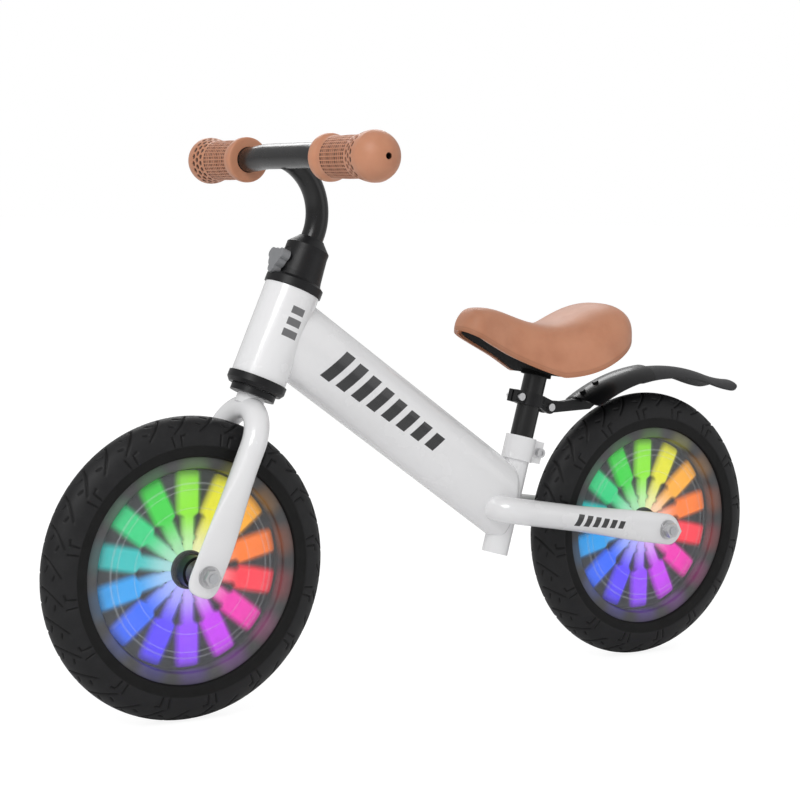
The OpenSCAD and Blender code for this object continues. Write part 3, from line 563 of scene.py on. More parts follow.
# %% Where a beam is
LIGHTS = 14
hues = [(1.0, 0.20, 0.01), (1.0, 0.42, 0.01), (0.78, 0.76, 0.01), (0.25, 0.80, 0.01),
        (0.02, 0.64, 0.03), (0.01, 0.62, 0.20), (0.01, 0.50, 0.48), (0.01, 0.34, 0.85),
        (0.02, 0.13, 1.0), (0.09, 0.04, 1.0), (0.27, 0.04, 1.0), (0.58, 0.03, 0.90),
        (0.90, 0.02, 0.45), (1.0, 0.03, 0.06)]


def polar(look, hub):
    """Distance from the wheel's axis in mm, and the angle around it in beams, 0 to LIGHTS."""
    x, _, z = look.axes(hub)
    radius = ((x * x + z * z) ** 0.5) * 1000.0
    turns = z.atan2(x) / (2 * math.pi)
    return radius, turns.fract() * float(LIGHTS)


print("beams", LIGHTS, "hues", len(hues))

# %% [markdown]
# ## The colour and shape of a beam
# A ramp with one stop a beam picks the hue. The outline has a narrow stem, a step, a broad head and
# a round end, and its edges fade, as light does in a cloudy guide.

# %% Colour and shape of a beam
STEM, HEAD = 7.2, 5.2


def beam_colour(look, beams):
    """The colour of the nearest beam: a ramp with one stop at the middle of each."""
    ramp = look.tree.nodes.new("ShaderNodeValToRGB")
    look.feed(ramp.inputs[0], (beams.floor() + 0.5) / float(LIGHTS))
    ramp.color_ramp.interpolation = "CONSTANT"
    stops = ramp.color_ramp.elements
    while len(stops) < LIGHTS:
        stops.new(1.0)
    for k, hue in enumerate(hues):
        stops[k].position = k / LIGHTS
        stops[k].color = (*hue, 1.0)
    return Val(look, ramp.outputs["Color"])


def beam_shape(look, radius, beams, soft):
    """1 inside a beam, 0 between beams: a narrow stem, a step, a broad head and a round end.
    soft is the width in mm over which its edges fade."""
    off = abs(beams.fract() - 0.5) * (2 * math.pi / LIGHTS) * radius
    head = radius.ramp(52.0, 58.0)
    half = STEM + HEAD * head
    inside = (half - off).ramp(-soft, soft)
    tip = (100.0 - radius).ramp(-7.0, 12.0)
    return inside * tip * radius.ramp(12.0, 17.0)


print("half width of a beam", STEM, "to", STEM + HEAD, "mm")

# %% [markdown]
# ## Lines and turned shapes
# A moulded part's corners are never sharp. Cutting the corners of a few points again and again
# gives a smooth line near them, which is easier to steer than a Bezier curve. Turning the line
# about an axis gives the rim, and later the covers.

# %% Soften a line and turn it
def soften(points, times=3):
    """Cuts the corners of a line of points, a quarter of the way along each side, and repeats."""
    p = np.asarray(points, float)
    for _ in range(times):
        q = np.empty((2 * len(p) - 2, p.shape[1]))
        q[0::2] = 0.75 * p[:-1] + 0.25 * p[1:]
        q[1::2] = 0.25 * p[:-1] + 0.75 * p[1:]
        p = np.vstack([p[:1], q, p[-1:]])
    return p


def revolve(profile, centre, axis, turn0, columns):
    """Points of a turned shape: each (along, radius) pair of the profile makes one ring about axis,
    and turn0 is the direction where the ring starts."""
    angle = 2 * np.pi * np.arange(columns) / columns
    turn1 = np.cross(axis, turn0)
    ring = np.cos(angle)[:, None] * turn0 + np.sin(angle)[:, None] * turn1
    a, r = profile[:, 0], profile[:, 1]
    return centre + a[:, None, None] * axis + r[:, None, None] * ring[None]


print("a corner softened twice has", len(soften([(0, 0), (1, 0), (1, 1)], 2)), "points")

# %% [markdown]
# ## Rims
# The moulded rim is one turned shape: a rounded flange, a steep inner wall that meets the thin web
# in a fillet, and the collar around the hub.

# %% Rim surface
def rim(name, hub):
    """The outline in mm, half of it and its mirror image, turned about the axle."""
    half = float(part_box("front_rim")[1].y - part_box("front_rim")[0].y) / 2 / mm
    seat = float(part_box("front_rim")[1].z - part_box("front_rim")[0].z) / 2 / mm
    lip_in = seat - 12
    web = 2.5
    wall_line = soften([(half - 3.0, seat), (half - 0.8, seat), (half, seat - 0.8),
                        (half, seat - 9.5), (half - 1.2, lip_in + 0.6), (half - 4.5, lip_in),
                        (web + 6, lip_in), (web + 1, lip_in - 1), (web, lip_in - 7),
                        (web, lip_in - 40), (web, 22), (web + 2, 19.4), (8.4, 19), (9, 18.4),
                        (9, 16)], 3)
    outline = np.concatenate([wall_line, wall_line[::-1] * [-1, 1],
                              [(-6, seat - 5), (6, seat - 5)]])
    points = revolve(outline * mm, hub, side, np.array([1.0, 0, 0]), 192)
    return tidy_mesh(grid_piece(name, points, True, True))


print("rim surface ready")

# %% [markdown]
# ## The rim's finish
# Black moulded plastic in the middle and a dark grey band at the edge. Light from the beams spills
# onto the band, so it glows faintly in the colour of the beam beside it.

# %% Rim finish
def rim_look(name, hub):
    """Dark inside the band's radius and grey outside it, with the beams' glow on the grey."""
    look = Look(name, Specular_IOR_Level=0.4)
    radius, beams = polar(look, hub)
    shade = look.noise(40, 4).ramp(0.4, 0.8)
    band = radius.ramp(98.5, 100.5)
    dark = look.mix(shade, (0.012, 0.012, 0.013), (0.020, 0.020, 0.022))
    grey = look.mix(shade, (0.085, 0.085, 0.088), (0.115, 0.115, 0.118))
    spill = beam_shape(look, radius * 0.90, beams, 8.0) * band
    look.set(Base_Color=look.mix(band, dark, grey),
             Roughness=0.42 + 0.12 * shade,
             Emission_Color=look.mix(spill, (0.0, 0.0, 0.0), beam_colour(look, beams)))
    look.set(Emission_Strength=0.12)
    return look.bump(look.cells(1900), 0.10, 0.0001)


for which, hub in wheels:
    fit(rim(f"{which}_rim_moulding", hub), rim_look(f"{which} rim", hub),
        f"{which}_wheel", "rim_plastic", f"{which}_rim")
print("rims made")

# %% [markdown]
# ## Light guides
# On each side of the web lies one clear moulding. Fourteen loose bars would be simpler to make, but
# the real ones are joined by a thin sheet and a ring. So its face is a single polar grid: the beams
# stand proud of it and fall away at their edges.

# %% Light guides
SHEET, SHEET_WALL, PROUD = 2.55, 0.6, 3.2


def guides(name, hub, face):
    """face is -1 for the left side of the wheel and 1 for the right side. The height over the web
    is the sheet plus PROUD times a smooth step of the distance inside a beam's edge, in mm."""
    per, rows = 40, 66
    radius = np.linspace(17.2, 99.2, rows)
    turn = np.arange(LIGHTS * per) / per
    off = np.abs(turn % 1 - 0.5)[:, None] * (2 * np.pi / LIGHTS) * radius[None]
    half = 5.0 + 5.6 * ease((radius - 50) / 6)
    proud = ease((half[None] - off + 1.5) / 3.0) * ease((98 - radius) / 5)[None]
    proud = np.maximum(proud, ease((radius[None] - 28) / 2) * ease((35 - radius[None]) / 2))
    lift = SHEET + SHEET_WALL + PROUD * proud
    angle = turn[:, None] * (2 * np.pi / LIGHTS)
    top = np.stack([radius * np.cos(angle), face * lift, radius * np.sin(angle)], -1)
    under = top[:, ::-1][:, [0, -1]].copy()
    under[..., 1] = face * SHEET
    points = hub + np.concatenate([top, under], 1) * mm
    return tidy_mesh(grid_piece(name, points, True, True))


print("guides stand", SHEET + SHEET_WALL + PROUD, "mm from the web")

# %% [markdown]
# ## The glow
# Each beam glows in one colour, whiter towards the hub where the LED is, and fades at its sides and
# its end. The dark sheet between the beams stays unlit.

# %% Glowing finish
def guide_look(name, hub):
    """The glow is the beam's shape to the power 1.5, times streaks that dim towards the rim."""
    look = Look(name, Specular_IOR_Level=0.3, Roughness=0.35)
    radius, beams = polar(look, hub)
    hue = beam_colour(look, beams)
    beam = beam_shape(look, radius, beams, 4.6) ** 1.5
    white = radius.ramp(58.0, 20.0) * 0.48
    core = look.mix(white, hue, (0.92, 0.97, 1.0))
    streaks = 0.85 + 0.3 * look.noise(120, 2)
    fade = streaks * (1.0 - 0.25 * radius.ramp(70.0, 100.0))
    lit = look.mix(beam * fade.least(1.0), (0.006, 0.006, 0.007), core)
    look.set(Base_Color=look.mix(beam * 0.25, (0.008, 0.008, 0.009), hue), Emission_Color=lit)
    look.set(Emission_Strength=0.92)
    return look.bump(look.noise(400, 2), 0.05, 0.0002)


for which, hub in wheels:
    glow = guide_look(f"{which} light guides", hub)
    for name, face in (("left", -1), ("right", 1)):
        fit(guides(f"{which}_guides_{name}", hub, face), glow, f"{which}_wheel", "light_guide",
            f"{which}_light_guides")
print("light guides made")

# %% [markdown]
# ## Clear covers
# A thin clear disc with a raised middle keeps fingers off the lights. It is one turned outline.

# %% Cover surface
def cover(name, hub, face):
    """The inner and outer lines of the disc in mm, turned about the axle."""
    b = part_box("front_cover_left")
    y0 = (front_hub[1] - b[1].y) / mm
    rise, seat = 86.0, 100.0
    top = (-b[0].y + front_hub[1]) / mm
    line = soften([(top - 1.2, 17), (top - 1.2, rise - 2.5), (y0, rise), (y0, seat - 0.3)], 2)
    outer = soften([(y0 + 1.2, seat - 0.3), (y0 + 1.2, rise + 1), (top, rise - 1.2), (top, 17)], 2)
    outline = np.concatenate([line, outer]) * [face, 1]
    points = revolve(outline * mm, hub, side, np.array([1.0, 0, 0]), 160)
    return tidy_mesh(grid_piece(name, points, True, True))


print("cover surface ready")

# %% [markdown]
# ## Clear plastic
# Real refraction through two thin faces bends light very little and renders slowly. A mix of a
# see-through shader and a glossy one looks the same. A few rings moulded into the disc, and its
# raised edge, take more of the glossy one.

# %% Clear finish
def cover_look(name, hub):
    """The glossy share is 0.055, plus a tenth on three rings and a little haze."""
    look = Look(name, Base_Color=(0.80, 0.84, 0.88, 1.0), Specular_IOR_Level=0.6)
    radius, _ = polar(look, hub)
    ring = (abs(radius - 80.0).ramp(0.9, 0.3)).most(abs(radius - 62.0).ramp(0.9, 0.3))
    ring = ring.most(abs(radius - 86.0).ramp(1.4, 0.4)) * 0.10
    haze = look.noise(30, 3).ramp(0.4, 0.9) * 0.02
    look.set(Roughness=0.06 + 0.1 * haze)
    see = look.tree.nodes.new("ShaderNodeBsdfTransparent")
    return look.blend(0.055 + ring + haze, see.outputs[0], look.bsdf.outputs[0])


for which, hub in wheels:
    clear = cover_look(f"{which} cover", hub)
    for name, face in (("left", -1), ("right", 1)):
        fit(cover(f"{which}_clear_{name}", hub, face), clear, f"{which}_wheel", "clear_cover",
            f"{which}_cover_{name}")
print("covers made")

# %% [markdown]
# ## The line of the down tube
# The big tube runs from the head tube to the foot of the seat tube. Its two ends are worked out
# from the boxes of those tubes, so it always meets them.

# %% Where the tubes meet
HEAD_SHARE, JOIN_S = 0.585, 54.3 * mm
seat_low, seat_high = (np.array(c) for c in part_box("seat_tube"))
tube_r = float(seat_high[1] - seat_low[1]) / 2
seat_fore = np.array([-seat_up[2], 0.0, seat_up[0]])
seat_foot = np.array([seat_low[0] + tube_r * seat_up[2], 0.0, seat_low[2] + tube_r * seat_up[0]])
head_r = float(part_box("head_tube")[1].y)
head_foot_s = (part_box("head_tube")[0].z + head_r * steer_up[0] - front_hub[2]) / steer_up[2]
head_top_s = (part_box("head_tube")[1].z - head_r * steer_up[0] - front_hub[2]) / steer_up[2]
meet = front_hub + (head_foot_s + HEAD_SHARE * (head_top_s - head_foot_s)) * steer_up
join = seat_foot + JOIN_S * seat_up
down = (join - meet) / np.linalg.norm(join - meet)
down_up = np.array([-down[2], 0.0, down[0]])
print("down tube slope", round(math.degrees(math.asin(-down[2])), 2), "degrees")

# %% [markdown]
# ## The down tube
# The tube's section is an oval, a little squarer than an ellipse. A boolean cut would fit it to the
# head tube, but would leave ragged faces. Here every line along the tube simply starts where it
# meets the head tube's wall. At the rear the oval shrinks while it runs on, which rounds the end
# over the seat tube.

# %% Down tube
def down_tube(name):
    """The oval is h = half height x |cos| to the power 0.88, and w the same with sin. A line at
    (h, w) starts where its distance from the steering axis is the head tube's radius."""
    half_h, half_w, columns, rows = 39 * mm, 24 * mm, 120, 70
    angle = 2 * np.pi * np.arange(columns) / columns
    c, s = np.cos(angle), np.sin(angle)
    h = half_h * np.sign(c) * np.abs(c) ** 0.88
    w = half_w * np.sign(s) * np.abs(s) ** 0.88

    def start(hh, ww):
        """How far along the tube the head tube's wall is met."""
        reach = np.sqrt((head_r - 1.5 * mm) ** 2 - ww ** 2)
        return (reach - hh * (down_up @ steer_fore)) / (down @ steer_fore)

    def finish(hh):
        """How far along the tube the seat tube's line is met."""
        return np.linalg.norm(join - meet) - hh * (down_up @ -seat_fore) / (down @ -seat_fore)

    first, last, edge = start(h, w), finish(h), 9 * mm
    grow = np.linspace(0, 1, rows)[:, None]
    body_t = first + grow * (last - edge - first)
    body = (body_t[..., None] * down + h[None, :, None] * down_up + w[None, :, None] * side)
    turn = np.radians(np.linspace(0, 90, 12))[1:, None]
    scale = 1 - 0.28 * (1 - np.cos(turn)) - 0.72 * ease((np.degrees(turn) - 70) / 20)
    cap_t = finish(scale * h) - edge + edge * np.sin(turn)
    cap = (cap_t[..., None] * down + (scale * h)[..., None] * down_up
           + (scale * w)[..., None] * side)
    return tidy_mesh(grid_piece(name, meet + np.concatenate([body, cap]), False, True), 1e-7)


marked_paint = striped("down tube enamel", meet + down * 0.125, down, down_up, -0.066, 8, 0.0205,
                      0.037, 0.35)
fit(down_tube("down_tube_shell"), marked_paint, "frame", "frame_paint", "down_tube")
print("down tube made")

# %% [markdown]
# ## Tubes along a line
# The stays, the fork and the handlebar are bent tubes. A curve with a bevel would make one, but
# only with a round section of one shape. Carrying an oval along the line lets its two half sizes
# change on the way, from round to pressed flat.

# %% Carry an oval along a line
def sweep(centres, across, upward, half_a, half_u, columns=72):
    """Points of a tube: an oval with half sizes half_a and half_u, carried along the centres.
    across and upward are its two directions at each centre, taken by cosine and by sine."""
    angle = 2 * np.pi * np.arange(columns) / columns
    c, s = np.cos(angle), np.sin(angle)
    half_a, half_u = np.broadcast_to(half_a, len(centres)), np.broadcast_to(half_u, len(centres))
    return (centres[:, None] + half_a[:, None, None] * c[None, :, None] * across[:, None]
            + half_u[:, None, None] * s[None, :, None] * upward[:, None])


def close_ends(points):
    """Adds a ring shrunk to its middle at both ends, so that the tube is closed."""
    first = np.broadcast_to(points[0].mean(0), points[0].shape)
    last = np.broadcast_to(points[-1].mean(0), points[-1].shape)
    return np.concatenate([first[None], points, last[None]])


print("tube helpers ready")

# %% [markdown]
# ## Chain stays
# Each stay comes out of the seat tube sideways, turns back and runs to the rear axle, where the
# tube is pressed flat and rounded off around the nut.

# %% Stays
STAY_RISE, TIP_REACH = 36.8 * mm, 21 * mm
FLAT_HALF, TIP_R = 4.5 * mm, 17.5 * mm
axle_gap_half = (float(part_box("front_axle_washers")[1].y) - 1.6 * mm) - 9 * mm
drop_y = axle_gap_half + FLAT_HALF


def stay(name, face):
    """A quarter circle and then a run whose offset eases from beside the tyre to the axle's end.
    The round half size r eases to 4.5 mm across and 17.5 mm upright."""
    r = 14.3 * mm
    front_x = seat_foot[0] - 14.5 * mm
    side_y = tyre_half_w + r + 4.2 * mm
    bend_r = side_y - 15 * mm
    rise = STAY_RISE / (rear_hub[0] - front_x)
    a = np.radians(np.linspace(0, 90, 22))
    x1, end = front_x + bend_r, rear_hub[0] + TIP_REACH
    bend = np.stack([x1 - bend_r * np.cos(a), side_y - bend_r * (1 - np.sin(a))], -1)
    t = np.linspace(0, 1, 64)[1:]
    run_x = x1 + (end - x1) * t
    run_y = side_y + (drop_y - side_y) * ease(t * 1.25)
    f = np.concatenate([np.zeros(22), ease((t - 0.25) / 0.55)])
    x, y = np.concatenate([bend[:, 0], run_x]), np.concatenate([bend[:, 1], run_y])
    tip = np.sqrt(np.clip(1 - (np.clip(x - (end - 17 * mm), 0, None) / (17.2 * mm)) ** 2, 0.0, 1))
    z = rear_hub[2] + (rear_hub[0] - x) * rise
    cos_a = np.concatenate([np.cos(a), np.zeros(63)])
    across = np.stack([-cos_a, face * np.sqrt(1 - cos_a ** 2), 0 * x], -1)
    half_a = r + (FLAT_HALF - r) * f
    half_u = (r + (TIP_R - r) * f) * tip
    upward = np.tile([0.0, 0, 1.0], (len(x), 1))
    centres = np.stack([x, face * y, z], -1)
    points = sweep(centres, across, upward, half_a, half_u)
    return tidy_mesh(grid_piece(name, close_ends(points), False, True), 1e-6)


stay_dir = np.array([0.978, 0.0, -0.165])
stay_dir /= np.linalg.norm(stay_dir)
stay_mid = rear_hub + np.array([-0.095, 0.0, 0.0155])
stay_paint = striped("stay enamel", stay_mid, stay_dir, np.array([0.165, 0.0, 0.978]), -0.042, 6,
                     0.0125, 0.0135, 0.35)
for name, face in (("left", -1), ("right", 1)):
    fit(stay(f"stay_{name}", face), stay_paint, "frame", "frame_paint", f"chain_stay_{name}")
print("stays made")

# %% [markdown]
# ## Fork
# The crown and both legs are one tube, bent over the tyre in a half circle and pressed flat at the
# two ends. Making it as one line keeps the crown and the legs seamless.

# %% Fork
CROWN_GAP, TYRE_GAP = 6 * mm, 4 * mm


def fork(name):
    """One line goes up the left leg, over the wheel and down the right leg."""
    r = 12.5 * mm
    arch = tyre_half_w + r + TYRE_GAP
    arch_s = wheel_r + CROWN_GAP + r - arch
    low_s, tip_r = -4 * mm, 17 * mm
    t = np.linspace(1, 0, 56)[:-1]
    leg_y = arch + (drop_y - arch) * ease(t * 1.25)
    leg_s = arch_s + (low_s - arch_s) * t
    flat = ease((t - 0.1) / 0.7)
    leg_a, leg_u = r + (tip_r - r) * flat, r + (FLAT_HALF - r) * flat
    tip = np.radians([84, 74, 64, 54, 44, 34, 24, 12])
    tip_y, tip_s = np.full(8, drop_y), low_s - tip_r * np.sin(tip)
    tip_a, tip_u = tip_r * np.cos(tip) ** 0.55, FLAT_HALF * np.cos(tip) ** 0.12
    bow = np.radians(np.linspace(90, -90, 61))
    y = np.concatenate([tip_y, leg_y, arch * np.sin(bow), -leg_y[::-1], -tip_y[::-1]])
    s = np.concatenate([tip_s, leg_s, arch_s + arch * np.cos(bow), leg_s[::-1], tip_s[::-1]])
    half_a = np.concatenate([tip_a, leg_a, np.full(61, r), leg_a[::-1], tip_a[::-1]])
    half_u = np.concatenate([tip_u, leg_u, np.full(61, r), leg_u[::-1], tip_u[::-1]])
    plain = len(tip) + len(leg_y)
    out_y = np.concatenate([np.ones(plain), np.sin(bow), -np.ones(plain)])
    out_s = np.concatenate([np.zeros(plain), np.cos(bow), np.zeros(plain)])
    upward = out_y[:, None] * -side + out_s[:, None] * steer_up
    centres = front_hub - y[:, None] * side + s[:, None] * steer_up
    across = np.tile(steer_fore, (len(y), 1))
    points = sweep(centres, across, upward, half_a, half_u)
    return tidy_mesh(grid_piece(name, close_ends(points), False, True), 1e-6)


white = enamel("white enamel", WHITE, 0.22, 0.55)
fit(fork("fork_tube"), white, "fork", "frame_paint", "fork_blades")
print("fork made")

# %% [markdown]
# ## Handlebar
# The stem bends forward into the cross bar, and the bar's middle is lifted a little by two easy
# bends. On the real one the two tubes are welded, so here they simply run into each other.

# %% Handlebar
mounts = {m["name"]: m for m in frame["record"]["mounts"]}
bar_mid = np.array([mounts["grip_end_left"]["pos_m"][0], 0.0, mounts["grip_end_left"]["pos_m"][2]])


def bar_stem(name):
    """A round tube up the steering axis, then a quarter bend forward to the cross bar."""
    r, bend_r = 11.5 * mm, 58 * mm
    corner = bar_mid + bend_r * steer_fore
    bend_s = (corner - front_hub) @ steer_up - bend_r
    foot_s = (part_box("handlebar")[0].z + r * steer_up[0] - front_hub[2]) / steer_up[2]
    straight = np.linspace(foot_s, bend_s, 12)[:-1]
    turn = np.radians(np.linspace(0, 90, 36))
    base = front_hub + bend_s * steer_up
    bent = (base + (bend_r * (np.cos(turn) - 1))[:, None] * steer_fore
            + (bend_r * np.sin(turn))[:, None] * steer_up)
    centres = np.concatenate([front_hub + straight[:, None] * steer_up, bent])
    angles = np.concatenate([np.zeros(11), turn])
    across = np.cos(angles)[:, None] * steer_fore + np.sin(angles)[:, None] * steer_up
    upward = np.tile(side, (len(centres), 1))
    tube = sweep(centres, across, upward, r, r, 64)
    return tidy_mesh(grid_piece(name, close_ends(tube), False, True))


def cross_bar(name):
    """The bar's middle lies 2.6 mm higher than its ends; two easy bends join them."""
    r, half = 12.7 * mm, float(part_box("grip_right")[1].y) - 12 * mm
    y = np.linspace(-half, half, 121)
    lift = 2.6 * mm * ease((78 * mm - np.abs(y)) / (42 * mm))
    up = np.array([0.0, 0.0, 1.0])
    centres = bar_mid + y[:, None] * side + lift[:, None] * up
    across = np.tile([1.0, 0.0, 0.0], (len(y), 1))
    tube = sweep(centres, across, np.tile(up, (len(y), 1)), r, r, 64)
    return tidy_mesh(grid_piece(name, close_ends(tube), False, True))


bar_black = enamel("bar enamel", (0.0065, 0.0065, 0.007), 0.27, 0.25)
bar_black.set(Specular_IOR_Level=0.35, Coat_Roughness=0.16)
fit(bar_stem("stem_tube"), bar_black, "handlebar_body", "bar_paint", "handlebar")
fit(cross_bar("cross_tube"), bar_black, "handlebar_body", "bar_paint", "handlebar")
print("handlebar made")

# %% [markdown]
# ## Grips
# Each grip is a turned moulding with a flange, a waist and a rounded end. Its slots could be cut
# with hundreds of booleans; as dents in a fine turned grid they cost nothing more. Rows of small
# slots run around the waist, and larger holes, every second row moved by half, lie next to the
# rounded end.

# %% Grip surface
SLOT_ROWS, SLOT_PITCH, SLOT_RINGS = 34, 3.75, 12
HOLE_ROWS, HOLE_PITCH, HOLE_RINGS = 20, 5.6, 3


def resample(points, count):
    """Spaces points evenly along a line."""
    p = np.asarray(points, float)
    run = np.concatenate([[0], np.cumsum(np.linalg.norm(np.diff(p, axis=0), axis=1))])
    at = np.linspace(0, run[-1], count)
    return np.stack([np.interp(at, run, p[:, k]) for k in range(p.shape[1])], -1)


def grip(name, face):
    """Turned about the bar. out is the distance from the middle plane; the slots and holes are
    dents whose depth depends on out and on the angle around the bar."""
    end_r, tip = 24.2, float(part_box("grip_right")[1].y) / mm
    end = tip - end_r
    flange = end - 78.6
    skin = soften([(flange - 5, 13.2), (flange - 5, end_r * 0.72), (flange - 5, end_r * 0.90),
                   (flange - 3.5, end_r * 0.955), (flange + 2.5, end_r * 0.955),
                   (flange + 5, end_r * 0.92), (flange + 8, end_r * 0.83),
                   (flange + 20, end_r * 0.83), (flange + 34, end_r * 0.85),
                   (flange + 50, end_r * 0.84), (flange + 60, end_r * 0.87),
                   (flange + 68, end_r * 0.94), (end - 3, end_r), (end + 4, end_r * 0.995)], 3)
    skin = resample(skin, 190)
    a = np.radians(np.linspace(10, 90, 30))[1:]
    hole = 3.2 / end_r
    dome = np.stack([end + end_r * np.sin(a), end_r * np.maximum(np.cos(a), hole)], -1)
    dome[-1] = (tip - 0.3, 3.2)
    pit = np.array([(tip - 1.2, 3.0), (tip - 6, 3.0), (tip - 10.5, 2.9), (tip - 10.6, 0.0)])
    outline = np.concatenate([skin, dome, pit])
    columns = 340
    out = outline[:, 0][:, None]
    around = np.arange(columns)[None] / columns
    along = (out - (flange + 12)) / SLOT_PITCH
    cell_u = (around * SLOT_ROWS) % 1 - 0.5
    cell_v = along % 1 - 0.5
    slots = ease((0.40 - np.abs(cell_u)) / 0.16) * ease((0.35 - np.abs(cell_v)) / 0.16)
    slots = slots * (along > 0) * (along < SLOT_RINGS)
    big = (out - (flange + 59.5)) / HOLE_PITCH
    shift = 0.5 * (np.floor(big) % 2)
    big_u = ((around * HOLE_ROWS + shift) % 1 - 0.5) * 2 * np.pi * 20.5 / HOLE_ROWS
    big_v = (big % 1 - 0.5) * HOLE_PITCH
    holes = ease((1 - np.hypot(big_u / 2.5, big_v / 2.2)) / 0.30) * (big > 0) * (big < HOLE_RINGS)
    dent = np.maximum(slots, holes)
    relief = np.where(holes > slots, 1.9, 1.4) * dent
    angle = 2 * np.pi * around
    r = outline[:, 1][:, None] - relief * (out < tip - 12)
    points = bar_mid + mm * np.stack([r * np.cos(angle), face * out + 0 * r, r * np.sin(angle)], -1)
    obj = grid_piece(name, points, False, True)
    # The end pit's rows are painted near black too: painted shade inside the hole.
    pit_painted_shade = np.broadcast_to((np.arange(len(outline)) >= len(outline) - 4)[:, None], dent.shape)
    paint_values(obj, "dent", np.clip(2.2 * np.maximum(dent, pit_painted_shade), 0, 1))
    return tidy_mesh(obj)


print("slots a grip", SLOT_ROWS * SLOT_RINGS, "holes", HOLE_ROWS * HOLE_RINGS)

# %% [markdown]
# ## Grip rubber
# The same tan skin as the saddle, with the floor of every dent nearly black, because little light
# comes back out of a hole that narrow.

# %% Grip finish
tan_grip = soft_skin("grip rubber", TAN)
dented = tan_grip.stored("dent")
tan_grip.set(Base_Color=tan_grip.mix(dented, tan_grip.colour_so_far(), (0.030, 0.010, 0.005)))
for name, face in (("left", -1), ("right", 1)):
    fit(grip(f"grip_{name}_moulding", face), tan_grip, "handlebar_body", "grip_rubber",
        f"grip_{name}")
print("grips made")

# %% [markdown]
# ## The saddle's lines
# The saddle is a soft moulded shell. Seen from the side its ridge rises at the nose and the tail
# and dips between them; seen from above a narrow nose flares into the seat. Three curves along it
# say all of that: half width, ridge height and edge height.

# %% Saddle lines
SADDLE_LENGTH, SADDLE_HALF, SADDLE_TALL = 212, 67, 65
shell_low = np.array(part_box("saddle_shell")[0])
post_r = float(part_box("seat_post")[1].y)
post_top = np.array(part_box("seat_post")[1])
post_head = np.array([post_top[0] - post_r * seat_up[2], 0, post_top[2] - post_r * seat_up[0]])


def saddle_lines(t):
    """Half width, ridge height and edge height of the saddle in mm, t from nose 0 to tail 1."""
    nose = 0.36 * np.sqrt(np.clip(1 - np.clip(1 - t / 0.10, 0, None) ** 2, 0, 1))
    flare = 0.64 * ease((t - 0.22) / 0.50)
    tail = np.sqrt(np.clip(1 - np.clip((t - 0.74) / 0.26, 0, None) ** 2.4, 0, 1))
    half = SADDLE_HALF * (nose + flare) * tail
    low_z = post_head[2] / mm - 21.7
    top = (low_z + SADDLE_TALL + 9 * np.cos(2 * np.pi * (t - 0.115) / 0.76)
           + 3 * ease((t - 0.6) / 0.3) - 20 * np.clip((t - 0.86) / 0.14, 0, None) ** 2.2
           - 20 * np.clip((0.085 - t) / 0.085, 0, None) ** 2)
    edge = (low_z + 50 * np.clip((0.50 - t) / 0.50, 0, None) ** 1.15
            + 50 * np.clip((t - 0.50) / 0.50, 0, None) ** 1.7)
    return half, top, edge


print("widest half width", round(float(saddle_lines(np.linspace(0, 1, 101))[0].max()), 1), "mm")

# %% [markdown]
# ## The saddle's skin
# A section runs from one lower edge over the ridge to the other. A cushion would be swollen by a
# cloth simulation; this one is foam moulded in a skin, so its crown is set by two powers of sine
# and cosine. A Solidify modifier gives it its wall afterwards.

# %% Saddle surface
def face_up(obj):
    """Turns an open sheet over if most of its area looks down."""
    b = bmesh.new()
    b.from_mesh(obj.data)
    b.normal_update()
    if sum(f.normal.z for f in b.faces) < 0:
        bmesh.ops.reverse_faces(b, faces=b.faces)
    b.to_mesh(obj.data)
    b.free()
    return obj


def saddle(name):
    """Across a section, y is half width x sine to the power 0.80 and z rises from the edge to the
    ridge by cosine to the power 0.62."""
    rows, columns = 150, 121
    t = 0.5 - 0.5 * np.cos(np.pi * np.linspace(0.004, 0.996, rows))
    half, top, edge = (q[:, None] for q in saddle_lines(t))
    v = np.linspace(-1, 1, columns)[None]
    a = np.pi / 2 * v
    lift = np.clip(np.cos(a), 0, 1) ** 0.62
    out = np.sign(v) * np.abs(np.sin(a)) ** 0.80
    x = shell_low[0] / mm + SADDLE_LENGTH * t[:, None] + 0 * v
    y = np.maximum(half, 0.4) * out
    z = edge + (np.maximum(edge + 0.5, top) - edge) * lift
    points = np.stack([x, y, z], -1) * mm
    obj = grid_piece(name, points)
    drop = np.minimum(1, (z - edge) / 9.0)
    paint_values(obj, "above_edge", drop)
    return face_up(tidy_mesh(obj, 2e-5))


seat = saddle("saddle_skin")
thicken(seat, 4 * mm)
round_edges(seat, 1.3 * mm, 3)
print("saddle points", len(seat.data.vertices))

# %% [markdown]
# ## The saddle's finish
# The tan skin again. A fine darker line follows the lower edge, where the skin is turned under, and
# the tan is painted darker towards it, as painted shade on the lower sides. Both follow a value
# stored on the mesh, the height above the edge.

# %% Saddle finish
tan_seat = soft_skin("saddle skin", TAN)
edge_line = abs(tan_seat.stored("above_edge") - 0.55).ramp(0.10, 0.03)
# Painted shade: the tan is painted darker within about 8 mm of the lower edge.
lower = tan_seat.stored("above_edge").ramp(0.9, 0.1)
tan_with_painted_shade = tan_seat.mix(lower * 0.45, tan_seat.colour_so_far(), (0.30, 0.115, 0.055))
tan_seat.set(Base_Color=tan_seat.mix(edge_line * 0.15, tan_with_painted_shade, (0.12, 0.045, 0.022)))
fit(seat, tan_seat, "saddle_body", "saddle_soft", "saddle_shell")
print("saddle made")

# %% [markdown]
# ## Strips for the mudguard
# Both blades are thin arched strips carried along a line. A flat plane bent by a modifier would do,
# but here the arch, the taper of the ends and the bend are one formula. The corners are rounded by
# narrowing the strip at its ends.

# %% An arched strip
GUARD_R, BLADE_WALL, BLADE_RISE = 210 * mm, 2.4 * mm, 12 * mm


